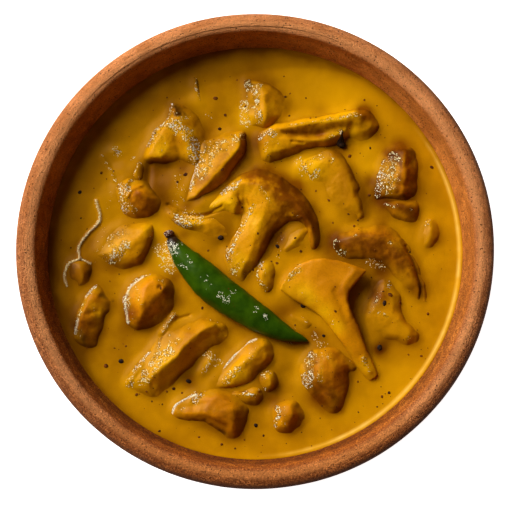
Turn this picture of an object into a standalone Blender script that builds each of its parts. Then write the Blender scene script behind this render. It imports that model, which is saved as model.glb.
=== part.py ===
"""Mushroom curry in a clay bowl: thick yellow sauce, cut mushrooms and one whole green chilli.

Metres, +Z up. The origin is the centre of the bowl's foot. Seen from above, +X is right and +Y is away.
Tables of pieces are in millimetres: places in plan from the layout's middle, heights from the sauce's level.
"""

import math

import bmesh
import bpy
import numpy as np

MM = 0.001
GAP = 0.3 * MM  # kept between pieces that touch

# The bowl
RIM_RADIUS = 84.0 * MM
RIM_HEIGHT = 60.0 * MM
LIP_THICKNESS = 6.6 * MM
FOOT_RADIUS = 40.0 * MM
FLOOR_THICKNESS = 8.5 * MM
TURN_STEPS = 48
INNER_HEIGHTS = [13, 22, 34, 47]  # mm, where the bowl's inside is drawn through
OUTER_HEIGHTS = [46, 31, 18, 9, 3.5]
INNER_FULLNESS = 0.178  # the smaller, the straighter the wall and the rounder the turn into the floor
OUTER_FULLNESS = 0.62
FLOOR_RADIUS = 30.0 * MM
FOOT_ROUND = 2.0 * MM
LIP_ANGLES = [170, 130, 90, 50, 10]  # degrees, from the inside over the crest to the outside

# The sauce
LEVEL = RIM_HEIGHT - 13.0 * MM
MENISCUS = 1.1 * MM
MENISCUS_CURVE = [(4, 0.1), (1.5, 0.45), (-0.15, 1)]  # mm in from the wall, share of the climb
SEED_RADIUS = 1.5

# Where the middle of the pieces' layout lies from the bowl's axis
LAYOUT_AT = np.array([0.2, -1.9]) * MM

# The green chilli: a spine with its radius at each point
CHILLI_SPINE = [
    (-29.9, 8.8), (-24.3, -0.1), (-16.0, -8.2), (-5.8, -16.5), (4.7, -24.5), (12.5, -28.9), (18.6, -30.9)]
CHILLI_RADIUS = [4.3, 5.3, 6.2, 6.0, 4.8, 3.2, 1.2]
CHILLI_FLAT = 0.85  # its height as a share of its width
CHILLI_DEEP = 1.5
CHILLI_LIFT = 1.6
STALK_RADIUS = 2.6
STALK_LENGTH = 2.6

# The cut mushrooms. Each lump or slice follows a spine seen from above:
# name: (spine, half width at each point, rise at each point, blunt ends, flat top, lean of the top)
PIECES = {
    "mushroom_sliver_top": (
        [(-22.2, 65.4), (-20.6, 58), (-17.6, 50.8)], [1.6, 2.4, 2.2], [1.3, 2.0, 1.2], 0, 0, (0, 0)),
    "mushroom_flat_top": ([(-29, 57), (-21.2, 54.6)], [3.4, 4.2], [1.0, 1.4], 0.3, 0.3, (0, 0)),
    "mushroom_chunk_top": (
        [(0.5, 64.4), (4, 55.2), (3, 45.6)], [7.4, 9.2, 7.4], [3.5, 4.6, 3.2], 0.4, 0.1, (-1, 0)),
    "mushroom_slice_long": (
        [(-6.5, 43.5), (-14.6, 31.6), (-24, 19)], [7.6, 7.3, 4.4], [5, 6, 3.6], 0.4, 0.2, (0.8, -0.5)),
    "mushroom_chunk_west": (
        [(-43.4, 27), (-42, 20), (-40, 12.5)], [6.6, 8.5, 6.4], [4, 5.2, 3.5], 0.3, 0.2, (-2, 0.5)),
    "mushroom_bit_west": ([(-42.4, 34), (-41.4, 28.6)], [2.2, 2.4], [2.2, 2.4], 0.2, 0, (-0.4, 0)),
    "mushroom_sunk_west": (
        [(-55.6, 38), (-50, 37.4), (-45, 36)], [3.6, 4.6, 3.2], [0.9, 1.3, 0.8], 0.2, 0.3, (0, 0)),
    "mushroom_slab_west": (
        [(-62, 1.5), (-49.5, 4.5), (-36.6, 6.5)],
        [7.5, 9.8, 7.8], [2.6, 3.8, 3.6], 0.5, 0.5, (0, 0.5)),
    "mushroom_cap_small": (
        [(-65, -0.6), (-63.2, -5.8), (-62.4, -11.2)], [3.8, 5, 4.8], [2, 3, 2.2], 0.3, 0.1, (0, 0)),
    "mushroom_arch_small": (
        [(-54.6, -11.6), (-57.2, -20), (-60.6, -31.4)],
        [4.6, 5.6, 5.4], [3.2, 4.5, 4], 0.4, 0.1, (-0.5, 0)),
    "mushroom_button_west": (
        [(-37.6, -6.4), (-37.6, -16), (-38.4, -25.6)], [9, 9.5, 9], [6, 6.8, 6], 0.25, 0.2, (-0.5, 0.5)),
    "mushroom_slab_long": (
        [(-13, -23.8), (-29.4, -34.9), (-44.6, -47)], [7.2, 8.4, 6], [5, 6.4, 4.6], 0.5, 0.2, (0, 0)),
    "mushroom_fold_south": (
        [(4.6, -31.4), (-5.2, -37.2), (-17.4, -45.4)],
        [5.4, 6.4, 3.2], [4, 5.2, 3], 0.4, 0.1, (0.6, -0.6)),
    "mushroom_nub_south": (
        [(1.9, -41), (4.6, -43.8), (7.2, -46.8)], [3.6, 4.2, 3.7], [3.2, 3.8, 3], 0.2, 0.2, (0, 0)),
    "mushroom_lip_south": (
        [(-10.6, -50.2), (-4.4, -50.4), (3.0, -48.6)],
        [1.8, 3.5, 3.2], [2.0, 3.4, 3.0], 0.3, 0.1, (0, 0)),
    "mushroom_wedge_south": (
        [(-30.4, -54.6), (-19, -53.4), (-6.6, -58.4)],
        [3, 5.4, 8], [2.6, 4.6, 5], 0.6, 0.4, (0, 0.8)),
    "mushroom_chunk_south": (
        [(6.6, -60.6), (11.2, -57), (16.8, -53.2)], [5, 5.5, 5.2], [3.8, 4.6, 3.6], 0.4, 0.1, (0, 0)),
    "mushroom_flat_north": (
        [(17, 36), (26.4, 26.6), (34.8, 11.4)], [7.4, 10.6, 7.4], [2.3, 3.0, 1.6], 0.4, 0.6, (1, 0)),
    "mushroom_chunk_east": (
        [(54.8, 39), (51.2, 30), (49.8, 20.4)], [4.8, 6.9, 7.8], [4, 5.8, 4.6], 0.55, 0.1, (-1.5, 0)),
    "mushroom_bit_east": (
        [(44.6, 17.8), (51.5, 15.3), (58.4, 15)], [2.4, 3.8, 4.2], [3, 4, 3], 0.35, 0.1, (0, 0)),
    "mushroom_lump_east": (
        [(46.4, -9.6), (46.8, -20), (55.4, -30.6)],
        [4.6, 7.8, 5.6], [2.6, 3.3, 2.8], 0.4, 0.4, (0, 0)),
    "mushroom_bit_far_east": (
        [(62.2, 13.8), (62.2, 8), (60, 2.8)], [2.7, 3.8, 2.7], [1.6, 2.2, 1.4], 0.3, 0.2, (0, 0)),
    "mushroom_bit_centre": (
        [(2.4, -2.2), (3.9, -7.4), (6.2, -12.6)], [3.4, 4.3, 2.6], [2.0, 2.8, 1.6], 0.3, 0.2, (0, 0)),
    "mushroom_lump_centre": (
        [(10.4, 2.6), (14.4, 5), (17.6, 9.4)], [4, 4.6, 3], [1.6, 2.4, 1.6], 0.3, 0.4, (0, 0)),
    "mushroom_slab_centre": (
        [(-32.6, 14.8), (-20.6, 9.6), (-7.2, 5.4)],
        [2.6, 4.8, 3.8], [1.8, 2.9, 1.4], 0.3, 0.3, (0, 1.6)),
    "mushroom_sunk_east": ([(12.6, -20.8), (19, -24.6)], [3.0, 3.2], [0.9, 1.1], 0.2, 0.3, (0, 0)),
    "mushroom_arch_east": (
        [(28.2, 4.4), (38, 4.6), (47.6, 2), (54.6, -5.4), (60.4, -16.8)],
        [3.2, 6.1, 6.3, 5, 2.8], [3.4, 5, 5, 4.4, 2.6], 0.35, 0.3, (0, 0.5)),
    "mushroom_roll_north": (
        [(1.0, 39.4), (12, 41.8), (25, 44.7), (36, 47.8), (44.8, 47.4)],
        [5, 5.9, 5.3, 4.9, 4.4], [4.2, 5.6, 5.6, 5.2, 3.6], 0.45, 0.3, (0, 0)),
}
# Pieces grown from several lumps: the first keeps the name, the others are fused onto it
CLUSTERS = {
    "mushroom_fold_north": [
        ([(-28.8, 56.8), (-24.6, 46.6), (-19.6, 32.8)], [3.2, 5.2, 3.4], [4, 5, 4], 0.3, 0, (-1, 0)),
        ([(-29.6, 53.6), (-33.2, 44.6), (-33.8, 33.4)],
         [1.8, 5.0, 7.2], [3.6, 5, 4.6], 0.6, 0.2, (-0.6, 0)),
    ],
    "mushroom_whole": [
        ([(-21.4, 16.2), (-11, 20.6), (-2, 24.6), (7, 24.4), (15, 18.4), (19.8, 10), (21.6, 1.2)],
         [2.8, 4.4, 5.2, 5.8, 5.8, 4.8, 3.2], [2.6, 4.6, 6, 6.6, 6.4, 5.4, 3.6], 0.35, 0.3, (-0.5, 0.5)),
        ([(5, 22), (1.0, 11), (-3.2, 1.5), (-7.0, -7.4)],
         [5.4, 5.7, 5, 4.2], [5, 5.6, 5, 3.6], 0.45, 0.2, (-0.5, 0.5)),
    ],
    "mushroom_button_east": [
        ([(16, -42), (25, -40.6), (34, -39.2)], [7.4, 7.4, 5.6], [6, 6.8, 4.6], 0.3, 0.2, (-0.5, 0.8)),
        ([(23.6, -42), (25.2, -49.4), (27.2, -56.6)], [7, 6.8, 4.6], [4.4, 4.6, 3.2], 0.35, 0.3, (0, 0)),
        ([(30.4, -37.4), (36.0, -39.9)], [3.1, 2.8], [3.6, 3.2], 0.3, 0.2, (0, 0)),
    ],
}
ROLL_GROOVE = (1.7, 1.9)  # half width and depth of the groove along the rolled slice
# Larger lumps take more sides round their spine and more rings along it
SIDES_AND_RINGS = {
    "mushroom_roll_north": (16, 12),
    "mushroom_arch_east": (12, 12),
    "mushroom_whole": (12, 14),
    "mushroom_slab_west": (14, 9),
}
SMALL_SPAN = 15.0  # a spine shorter than this gets the small lump's sides and rings
SIDES_BELOW = 3  # of a lump's sides, how many lie in the sauce
SINK = 3.4  # how deep a lump sits in the sauce

# A piece that lies on or against another takes its room out of it: lower piece: those above it
RESTS_UNDER = {
    "mushroom_flat_top": ["mushroom_fold_north", "mushroom_sliver_top"],
    "mushroom_fold_north": ["mushroom_slice_long"],
    "mushroom_slice_long": ["mushroom_whole"],
    "mushroom_slab_west": ["mushroom_chunk_west", "mushroom_cap_small"],
    "mushroom_slab_centre": ["mushroom_whole", "green_chilli", "chilli_stalk"],
    "mushroom_wedge_south": ["mushroom_lip_south"],
    "mushroom_lump_centre": ["mushroom_whole"],
    "mushroom_button_east": ["mushroom_fan"],
    "mushroom_flat_north": ["mushroom_whole", "mushroom_roll_north"],
}

# The fan-shaped oyster mushroom: rows from its stalk to its rim, each with its left and right edge
FAN_ROWS = [
    ((40.4, -44.6), (43.4, -42.6)), ((34.6, -37.2), (39.4, -34.0)), ((28.2, -28.4), (36.4, -25.4)),
    ((21.8, -20.9), (33.3, -19.0)), ((14.6, -16.6), (32.8, -13.0)), ((8.2, -12.0), (39.4, -5.4))]
FAN_EDGE_RISE = [(0.2, 0.6), (1.2, 2.4), (1.8, 3.8), (2.0, 5.0), (1.9, 5.6), (1.4, 5.4)]
FAN_CROWN = [0.8, 1.2, 1.5, 1.6, 1.4, 1.2]  # how much the middle of each row stands over its edges
FAN_RIM_BULGE = 8.0  # how far the rim bows out over the line between its corners
FAN_THICKNESS = 2.2

SEEDS_ON_SAUCE = [
    (7.8, 3.5), (24, -28.4), (16.7, -17.7), (43.8, -32.6),
    (-23.7, -44.4), (0, -59.9), (-47.7, -37.3), (-62.9, 23)]
# name of the lump under the seed: (place, height)
SEEDS_ON_LUMPS = {
    "mushroom_lump_east": ((45.5, -16.9), 3.0),
    "mushroom_slab_centre": ((-12.5, 6.6), 2.2),
}
HUSK = ((30.5, 39.8), 2.0, 3.4)  # a dark husk beside the rolled slice: place, half width, half length

SAUCE_RGB = (0.56, 0.25, 0.008)
FLESH_RGB = (0.62, 0.27, 0.012)
BROWN_RGB = (0.28, 0.10, 0.010)
CLAY_RGB = (0.38, 0.15, 0.065)
CHILLI_RGB = (0.035, 0.085, 0.004)
STALK_RGB = (0.05, 0.022, 0.008)


# Scene and materials


def clear_scene():
    for obj in list(bpy.data.objects):
        bpy.data.objects.remove(obj, do_unlink=True)


def collection(name):
    made = bpy.data.collections.new(name)
    bpy.context.scene.collection.children.link(made)
    return made


def material(name, rgb, roughness):
    made = bpy.data.materials.new(name)
    made.use_nodes = True
    shader = made.node_tree.nodes["Principled BSDF"]
    shader.inputs["Base Color"].default_value = (*rgb, 1)
    shader.inputs["Roughness"].default_value = roughness
    made.diffuse_color = (*rgb, 1)
    return made


def object_of(name, mesh, group, finish):
    obj = bpy.data.objects.new(name, mesh)
    group.objects.link(obj)
    mesh.materials.clear()
    mesh.materials.append(finish)
    return obj


def lay(obj, place=(0, 0), height=0.0):
    """Puts an object at a place of the layout, in millimetres."""
    obj.location = (LAYOUT_AT[0] + place[0] * MM, LAYOUT_AT[1] + place[1] * MM, height)


def smooth(obj, sharp_from=math.radians(50)):
    obj.data.shade_smooth()
    obj.data.set_sharp_from_angle(angle=sharp_from)


def bake(obj):
    """Applies the object's modifiers to its own mesh."""
    bpy.context.view_layer.update()
    graph = bpy.context.evaluated_depsgraph_get()
    baked = bpy.data.meshes.new_from_object(obj.evaluated_get(graph))
    obj.modifiers.clear()
    obj.data = baked


# Curves through named points


def along(points, t):
    """The place at t from 0 to 1 on a smooth curve through the points (Catmull-Rom)."""
    points = np.asarray(points, float)
    points = points.reshape(len(points), -1)
    ends = np.vstack([2 * points[0] - points[1], points, 2 * points[-1] - points[-2]])
    spans = len(points) - 1
    i = min(int(t * spans), spans - 1)
    u = t * spans - i
    a, b, c, d = ends[i : i + 4]
    bend = 2 * a - 5 * b + 4 * c - d
    twist = 3 * b - a - 3 * c + d
    return 0.5 * (2 * b + (c - a) * u + bend * u**2 + twist * u**3)


def heading(points, t, step=0.01):
    """The unit direction of the curve at t, and the direction to its left."""
    ahead = along(points, min(t + step, 1)) - along(points, max(t - step, 0))
    ahead /= np.linalg.norm(ahead)
    return ahead, np.array([-ahead[1], ahead[0]])


def profile(name, points, group, finish):
    """A turned shape: points (radius, height) from the top axis down the outer side, swept round Z."""
    mesh = bpy.data.meshes.new(name)
    mesh.from_pydata([(r, 0, z) for r, z in points], [(i, i + 1) for i in range(len(points) - 1)], [])
    obj = object_of(name, mesh, group, finish)
    turn = obj.modifiers.new("turn", "SCREW")
    turn.steps = turn.render_steps = TURN_STEPS
    turn.use_merge_vertices = True
    turn.merge_threshold = 0.1 * MM
    turn.use_smooth_shade = True
    return obj


# The bowl and the sauce


def inside_of_bowl():
    """The bowl's inside, points (radius, height) from the middle of its floor up to the lip."""
    floor, depth = FLOOR_THICKNESS, RIM_HEIGHT - FLOOR_THICKNESS
    mouth = RIM_RADIUS - LIP_THICKNESS
    wall = [(mouth * ((z * MM - floor) / depth) ** INNER_FULLNESS, z * MM) for z in INNER_HEIGHTS]
    return [(0, floor), (FLOOR_RADIUS, floor + 1.0 * MM)] + wall


def outer_wall(height):
    """Radius of the bowl's outside at a height."""
    spread = math.sin(math.pi / 2 * (height / RIM_HEIGHT) ** OUTER_FULLNESS)
    return FOOT_RADIUS + (RIM_RADIUS - FOOT_RADIUS) * spread


def build_bowl(group, finish):
    lip = LIP_THICKNESS / 2
    crest, top = RIM_RADIUS - lip, RIM_HEIGHT - lip
    lip_arc = [(crest + lip * math.cos(a), top + lip * math.sin(a)) for a in np.radians(LIP_ANGLES)]
    outside = [(outer_wall(z * MM), z * MM) for z in OUTER_HEIGHTS]
    foot = [(FOOT_RADIUS + FOOT_ROUND, 0.3 * FOOT_ROUND), (FOOT_RADIUS, 0), (0, 0)]
    bowl = profile("bowl", inside_of_bowl() + lip_arc + outside + foot, group, finish)
    bake(bowl)
    smooth(bowl)
    return bowl


def build_sauce(group, finish):
    """The sauce fills the bowl to its level and climbs the wall a little."""
    wall = [(r - GAP, z) for r, z in inside_of_bowl()[2:]]
    edge = wall[-1][0]
    top = [(share * edge, LEVEL) for share in (0, 0.45, 0.8)]
    top += [(edge - back * MM, LEVEL + climb * MENISCUS) for back, climb in MENISCUS_CURVE]
    floor = [(r, z + 1.5 * GAP) for r, z in reversed(inside_of_bowl()[:2])]
    sauce = profile("curry_sauce", top + wall[::-1] + floor, group, finish)
    bake(sauce)
    return sauce


# Mushroom pieces


def lump_mesh(name, piece, sides, rings, groove=None):
    """A sphere drawn out along a spine, with its own width and rise at each point of the spine."""
    spine, half, rise, blunt, flat, lean = piece
    body = bmesh.new()
    bmesh.ops.create_uvsphere(body, u_segments=sides, v_segments=rings, radius=1)
    for vert in body.verts:
        x, y, a = vert.co
        side = math.atan2(y, x) % (2 * math.pi) / (2 * math.pi) * sides
        above = sides - SIDES_BELOW
        turn = math.pi * (side / above if side <= above else 1 + (side - above) / SIDES_BELOW)
        across, up = math.cos(turn), math.sin(turn)
        across = math.copysign(abs(across) ** (1 - 0.4 * flat), across)
        up = math.copysign(abs(up) ** (1 - 0.5 * flat), up)
        t = (a + 1) / 2
        end = max(1 - a * a, 0) ** (0.5 - 0.35 * blunt)
        place = along(spine, t)
        _, left = heading(spine, t)
        top = max(up, 0) * end
        place = place + left * float(along(half, t)[0]) * end * across + np.array(lean) * top
        height = float(along(rise, t)[0]) * top + SINK * min(up, 0) * end
        if groove and up > 0:
            width, depth = groove
            off = float(along(half, t)[0]) * end * across
            height -= depth * math.exp(-((off / width) ** 2)) * end
        vert.co = (place[0] * MM, place[1] * MM, LEVEL + height * MM)
    mesh = bpy.data.meshes.new(name)
    body.to_mesh(mesh)
    body.free()
    return mesh


def build_lump(name, piece, group, finish, groove=None):
    spine = np.array(piece[0], float)
    span = np.linalg.norm(spine[-1] - spine[0])
    sides, rings = SIDES_AND_RINGS.get(name, (10, 7) if span < SMALL_SPAN else (12, 8))
    obj = object_of(name, lump_mesh(name, piece, sides, rings, groove), group, finish)
    lay(obj)
    smooth(obj)
    return obj


def join(base, others):
    """Fuses the other objects onto base and removes them."""
    tools = collection(base.name + "_joined")
    for other in others:
        for owner in list(other.users_collection):
            owner.objects.unlink(other)
        tools.objects.link(other)
    fuse = base.modifiers.new("join", "BOOLEAN")
    fuse.operation = "UNION"
    fuse.operand_type = "COLLECTION"
    fuse.collection = tools
    fuse.solver = "MANIFOLD"
    bake(base)
    for other in others:
        bpy.data.objects.remove(other, do_unlink=True)
    bpy.data.collections.remove(tools)
    smooth(base)


def fan_point(u, v):
    """A point of the fan, with u from its stalk to its rim and v from its left edge to its right edge."""
    rows = np.array(FAN_ROWS, float)
    left, right = along(rows[:, 0], u), along(rows[:, 1], u)
    rise = along(np.array(FAN_EDGE_RISE), u)
    bow = math.sin(math.pi * v**0.8)
    place = left + (right - left) * v
    across = (right - left) / np.linalg.norm(right - left)
    outward = np.array([-across[1], across[0]])
    place = place + outward * FAN_RIM_BULGE * bow * u**4
    height = rise[0] + (rise[1] - rise[0]) * v + float(along(FAN_CROWN, u)[0]) * bow
    return place[0] * MM, place[1] * MM, LEVEL + height * MM


def build_fan(group, finish):
    """The oyster mushroom's fan: one thin sheet, whose stalk and left tip are sunk in the sauce."""
    body = bmesh.new()
    bmesh.ops.create_grid(body, x_segments=7, y_segments=10, size=1)
    for vert in body.verts:
        vert.co = fan_point((vert.co.y + 1) / 2, (vert.co.x + 1) / 2)
    mesh = bpy.data.meshes.new("mushroom_fan")
    body.to_mesh(mesh)
    body.free()
    obj = object_of("mushroom_fan", mesh, group, finish)
    lay(obj)
    thick = obj.modifiers.new("thickness", "SOLIDIFY")
    thick.thickness = FAN_THICKNESS * MM
    thick.offset = -1
    thick.use_even_offset = True
    bake(obj)
    smooth(obj)
    return obj


def build_chilli(group, finish, stalk_finish):
    """The chilli lies half sunk; its stalk's stub is cut off short behind it."""
    rise = [CHILLI_FLAT * radius for radius in CHILLI_RADIUS]
    piece = (CHILLI_SPINE, CHILLI_RADIUS, rise, 0.6, 0, (0, 0))
    mesh = lump_mesh("green_chilli", piece, 12, 16)
    for vert in mesh.vertices:
        below = vert.co.z < LEVEL
        vert.co.z = LEVEL + (vert.co.z - LEVEL) * (CHILLI_DEEP if below else 1) + CHILLI_LIFT * MM
    chilli = object_of("green_chilli", mesh, group, finish)
    lay(chilli)
    smooth(chilli)

    ahead, _ = heading(CHILLI_SPINE, 0)
    start = np.array(CHILLI_SPINE[0]) - ahead * (STALK_LENGTH / 2 + 0.4)
    stub = bmesh.new()
    bmesh.ops.create_cone(stub, cap_ends=True, segments=12, radius1=STALK_RADIUS * MM,
                          radius2=STALK_RADIUS * 0.8 * MM, depth=STALK_LENGTH * MM)
    mesh = bpy.data.meshes.new("chilli_stalk")
    stub.to_mesh(mesh)
    stub.free()
    stalk = object_of("chilli_stalk", mesh, group, stalk_finish)
    lay(stalk, start, LEVEL + CHILLI_LIFT * MM)
    stalk.rotation_euler = (math.pi / 2, 0, math.atan2(ahead[1], ahead[0]) - math.pi / 2)
    smooth(stalk)
    return chilli, stalk


def build_seed(name, place, height, group, finish, half=SEED_RADIUS, length=SEED_RADIUS):
    seed = bmesh.new()
    bmesh.ops.create_uvsphere(seed, u_segments=5, v_segments=4, radius=1)
    for vert in seed.verts:
        vert.co = (vert.co.x * half * MM, vert.co.y * length * MM, vert.co.z * half * MM)
    mesh = bpy.data.meshes.new(name)
    seed.to_mesh(mesh)
    seed.free()
    obj = object_of(name, mesh, group, finish)
    lay(obj, place, LEVEL + height * MM)
    return obj


# Fitting pieces to each other


def cutter_of(obj, group):
    """A copy of a piece, swollen by the gap, which cuts the room that the piece takes."""
    copy = obj.copy()
    copy.data = obj.data.copy()
    copy.name = "cut_" + obj.name
    copy.modifiers.clear()
    group.objects.link(copy)
    swell = copy.modifiers.new("gap", "DISPLACE")
    swell.strength = GAP
    swell.mid_level = 0
    copy.hide_render = True
    copy.display_type = "WIRE"
    return copy


def cut(obj, cutters, solver="EXACT"):
    room = obj.modifiers.new("room", "BOOLEAN")
    room.operation = "DIFFERENCE"
    room.operand_type = "COLLECTION"
    room.collection = cutters
    room.solver = solver


def main():
    clear_scene()
    dish = collection("mushroom_curry")
    cutters = collection("cutters")
    clay = material("clay", CLAY_RGB, 0.85)
    curry = material("curry", SAUCE_RGB, 0.28)
    flesh = material("mushroom_flesh", FLESH_RGB, 0.32)
    brown = material("mushroom_brown", BROWN_RGB, 0.32)
    green = material("chilli_skin", CHILLI_RGB, 0.22)
    dark = material("chilli_stalk", STALK_RGB, 0.6)

    build_bowl(dish, clay)
    sauce = build_sauce(dish, curry)
    pieces = {}
    for name, piece in PIECES.items():
        groove = ROLL_GROOVE if name == "mushroom_roll_north" else None
        pieces[name] = build_lump(name, piece, dish, brown if "arch" in name else flesh, groove)
    for name, (first, *others) in CLUSTERS.items():
        pieces[name] = build_lump(name, first, dish, flesh)
        grown = [build_lump(f"{name}_{i}", other, dish, flesh) for i, other in enumerate(others)]
        join(pieces[name], grown)
    pieces["mushroom_fan"] = build_fan(dish, flesh)
    pieces["green_chilli"], pieces["chilli_stalk"] = build_chilli(dish, green, dark)

    seeds = [build_seed(f"seed_{i}", place, 0.3, dish, dark) for i, place in enumerate(SEEDS_ON_SAUCE)]
    place, half, length = HUSK
    seeds.append(build_seed("husk", place, 0.4, dish, dark, half, length))
    join(sauce, seeds)
    for name, (place, height) in SEEDS_ON_LUMPS.items():
        join(pieces[name], [build_seed("seed", place, height, dish, dark)])

    for obj in pieces.values():
        cutter_of(obj, cutters)
    cut(sauce, cutters, "MANIFOLD")
    smooth(sauce)
    for lower, uppers in RESTS_UNDER.items():
        above = collection("above_" + lower)
        for upper in uppers:
            cutter_of(pieces[upper], above)
        cut(pieces[lower], above)
        bake(pieces[lower])
        smooth(pieces[lower])


main()
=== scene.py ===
"""Mushroom curry in a clay bowl: the looks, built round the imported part.

Tables and helpers work in millimetres in the row's frame; meshes are made in metres.
The tables of the pieces and the sauce count x and y from the middle of their layout, and heights from
the sauce's level.
"""

import math

import bmesh
import bpy
import numpy as np
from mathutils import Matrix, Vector
from mathutils.bvhtree import BVHTree
from mathutils.geometry import delaunay_2d_cdt


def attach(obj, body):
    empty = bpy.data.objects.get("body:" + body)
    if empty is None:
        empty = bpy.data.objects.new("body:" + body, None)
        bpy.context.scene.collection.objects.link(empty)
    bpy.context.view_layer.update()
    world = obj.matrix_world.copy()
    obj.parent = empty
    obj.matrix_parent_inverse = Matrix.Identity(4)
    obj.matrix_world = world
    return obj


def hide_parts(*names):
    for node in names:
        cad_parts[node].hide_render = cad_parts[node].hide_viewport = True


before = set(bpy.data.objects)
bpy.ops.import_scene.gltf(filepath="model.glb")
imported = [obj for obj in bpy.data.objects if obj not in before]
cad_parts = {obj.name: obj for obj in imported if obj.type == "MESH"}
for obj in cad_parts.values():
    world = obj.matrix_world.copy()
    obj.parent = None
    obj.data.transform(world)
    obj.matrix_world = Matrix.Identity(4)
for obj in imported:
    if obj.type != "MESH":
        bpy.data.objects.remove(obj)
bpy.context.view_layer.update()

MM = 0.001
LIGHT_FROM = np.array([-0.766, 0.643])  # where the key light stands, in plan

# The bowl, in the part's own sizes
RIM_RADIUS, RIM_HEIGHT, LIP = 83.9, 59.95, 3.25
FLOOR, FOOT_RADIUS, FLOOR_RADIUS = 8.5, 40.0, 30.0
INNER_FULLNESS, OUTER_FULLNESS = 0.178, 0.62
LEVEL = 47.0
LAYOUT_AT = np.array([0.2, -1.9])  # where the middle of the layout lies from the bowl's axis


# Noise and distances


KNOTS = 32  # of the noise along each side, after which it repeats
OCTAVE_SHIFT = 7.3  # how far each finer octave lies from the one before


def noise(points, size, seed, octaves=3):
    """Smooth noise from about -1 to 1 at points (n, 3), with features of the given size."""
    total = np.zeros(len(points))
    for k in range(octaves):
        table = np.random.default_rng(seed + k).uniform(-1, 1, (KNOTS, KNOTS, KNOTS))
        place = points / size * 2**k + OCTAVE_SHIFT * k
        cell = np.floor(place).astype(int)
        part = place - cell
        part = part * part * (3 - 2 * part)
        for corner in range(8):
            step = np.array([corner & 1, corner >> 1 & 1, corner >> 2 & 1])
            i, j, m = ((cell + step) % KNOTS).T
            weight = np.prod(np.where(step, part, 1 - part), axis=1)
            total += 0.5**k * weight * table[i, j, m]
    return total


def flat_noise(xy, size, seed, octaves=3):
    return noise(np.column_stack([xy, np.zeros(len(xy))]), size, seed, octaves)


def curve(points, per_span=8):
    """A smooth line through the points (Catmull-Rom), any number of columns."""
    points = np.asarray(points, float)
    if len(points) < 3:
        return points
    ends = np.vstack([2 * points[0] - points[1], points, 2 * points[-1] - points[-2]])
    line = []
    for i in range(len(points) - 1):
        a, b, c, d = ends[i : i + 4]
        for u in np.arange(per_span) / per_span:
            bend, twist = 2 * a - 5 * b + 4 * c - d, 3 * b - a - 3 * c + d
            line.append(0.5 * (2 * b + (c - a) * u + bend * u**2 + twist * u**3))
    return np.array(line + [points[-1]])


def off_line(xy, line):
    """For each point: its distance to the line, and its place along the line's spans, 0 to 1."""
    best = np.full(len(xy), 1e9)
    share = np.zeros(len(xy))
    for i in range(len(line) - 1):
        start = line[i][:2]
        ahead = line[i + 1][:2] - start
        t = np.clip((xy - start) @ ahead / max(ahead @ ahead, 1e-9), 0, 1)
        far = np.hypot(*(xy - start - t[:, None] * ahead).T)
        near = far < best
        best = np.where(near, far, best)
        share = np.where(near, (i + t) / (len(line) - 1), share)
    return best, share


def rise_to(x, low, high):
    """0 below low, 1 above high, and a soft step between."""
    t = np.clip((x - low) / (high - low), 0, 1)
    return t * t * (3 - 2 * t)


def soft_spots(xy, marks):
    """The sum of round bells: (x, y, height, radius)."""
    total = np.zeros(len(xy))
    for x, y, height, radius in marks:
        total += height * np.exp(-((np.hypot(xy[:, 0] - x, xy[:, 1] - y) / radius) ** 2))
    return total


def ridges(xy, marks):
    """The sum of bells across lines: (line, height, width)."""
    total = np.zeros(len(xy))
    for line, height, width in marks:
        far, _ = off_line(xy, curve(line))
        total += height * np.exp(-((far / width) ** 2))
    return total


def near_lines(xy, marks, ragged=0.0, soft=1.5):
    """How strongly each point is painted by the marks: (line, half width, share)."""
    total = np.zeros(len(xy))
    for line, width, share in marks:
        far, _ = off_line(xy, curve(line))
        total = np.maximum(total, share * rise_to(width * (1.4 + 0.4 * ragged) - far, 0, width * soft))
    return total


def blurred(field, reach, step):
    """A field evened out with a bell of the given reach."""
    half = int(3 * reach / step)
    bell = np.exp(-0.5 * (np.arange(-half, half + 1) * step / reach) ** 2)
    bell /= bell.sum()
    for axis in (0, 1):
        field = np.apply_along_axis(lambda row: np.convolve(row, bell, "same"), axis, field)
    return field


# Objects


def add_object(name, data):
    obj = bpy.data.objects.new(name, data)
    bpy.context.scene.collection.objects.link(obj)
    return obj


def new_object(name, points, faces, smooth=True):
    mesh = bpy.data.meshes.new(name)
    mesh.from_pydata((np.asarray(points) * MM).tolist(), [], faces)
    mesh.update()
    if smooth:
        mesh.shade_smooth()
    return add_object(name, mesh)


def face_outwards(mesh):
    shape = bmesh.new()
    shape.from_mesh(mesh)
    bmesh.ops.recalc_face_normals(shape, faces=shape.faces)
    shape.to_mesh(mesh)
    shape.free()
    mesh.shade_smooth()


def dress(obj, finish, slot, *nodes):
    obj.data.materials.clear()
    obj.data.materials.append(finish)
    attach(obj, "root")
    if nodes:
        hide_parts(*nodes)
    return obj


def points_of(mesh):
    places = np.zeros(len(mesh.vertices) * 3)
    mesh.vertices.foreach_get("co", places)
    return places.reshape(-1, 3) / MM


def move_points(mesh, points):
    mesh.vertices.foreach_set("co", (points * MM).ravel())
    mesh.update()


def edges_of(mesh):
    ends = np.zeros(len(mesh.edges) * 2, int)
    mesh.edges.foreach_get("vertices", ends)
    return ends.reshape(-1, 2)


def normals_of(mesh):
    normals = np.zeros(len(mesh.vertices) * 3)
    mesh.vertices.foreach_get("normal", normals)
    return normals.reshape(-1, 3)


def cells(i, j, wide):
    """The corners of the cells (i, j) of a grid whose rows have so many points."""
    corner = i * wide + j
    return np.stack([corner, corner + wide, corner + wide + 1, corner + 1], -1).reshape(-1, 4)


def paint(obj, name, values):
    layer = obj.data.attributes.new(name, "FLOAT", "POINT")
    layer.data.foreach_set("value", np.clip(values, 0, 1).astype(np.float32))


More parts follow.
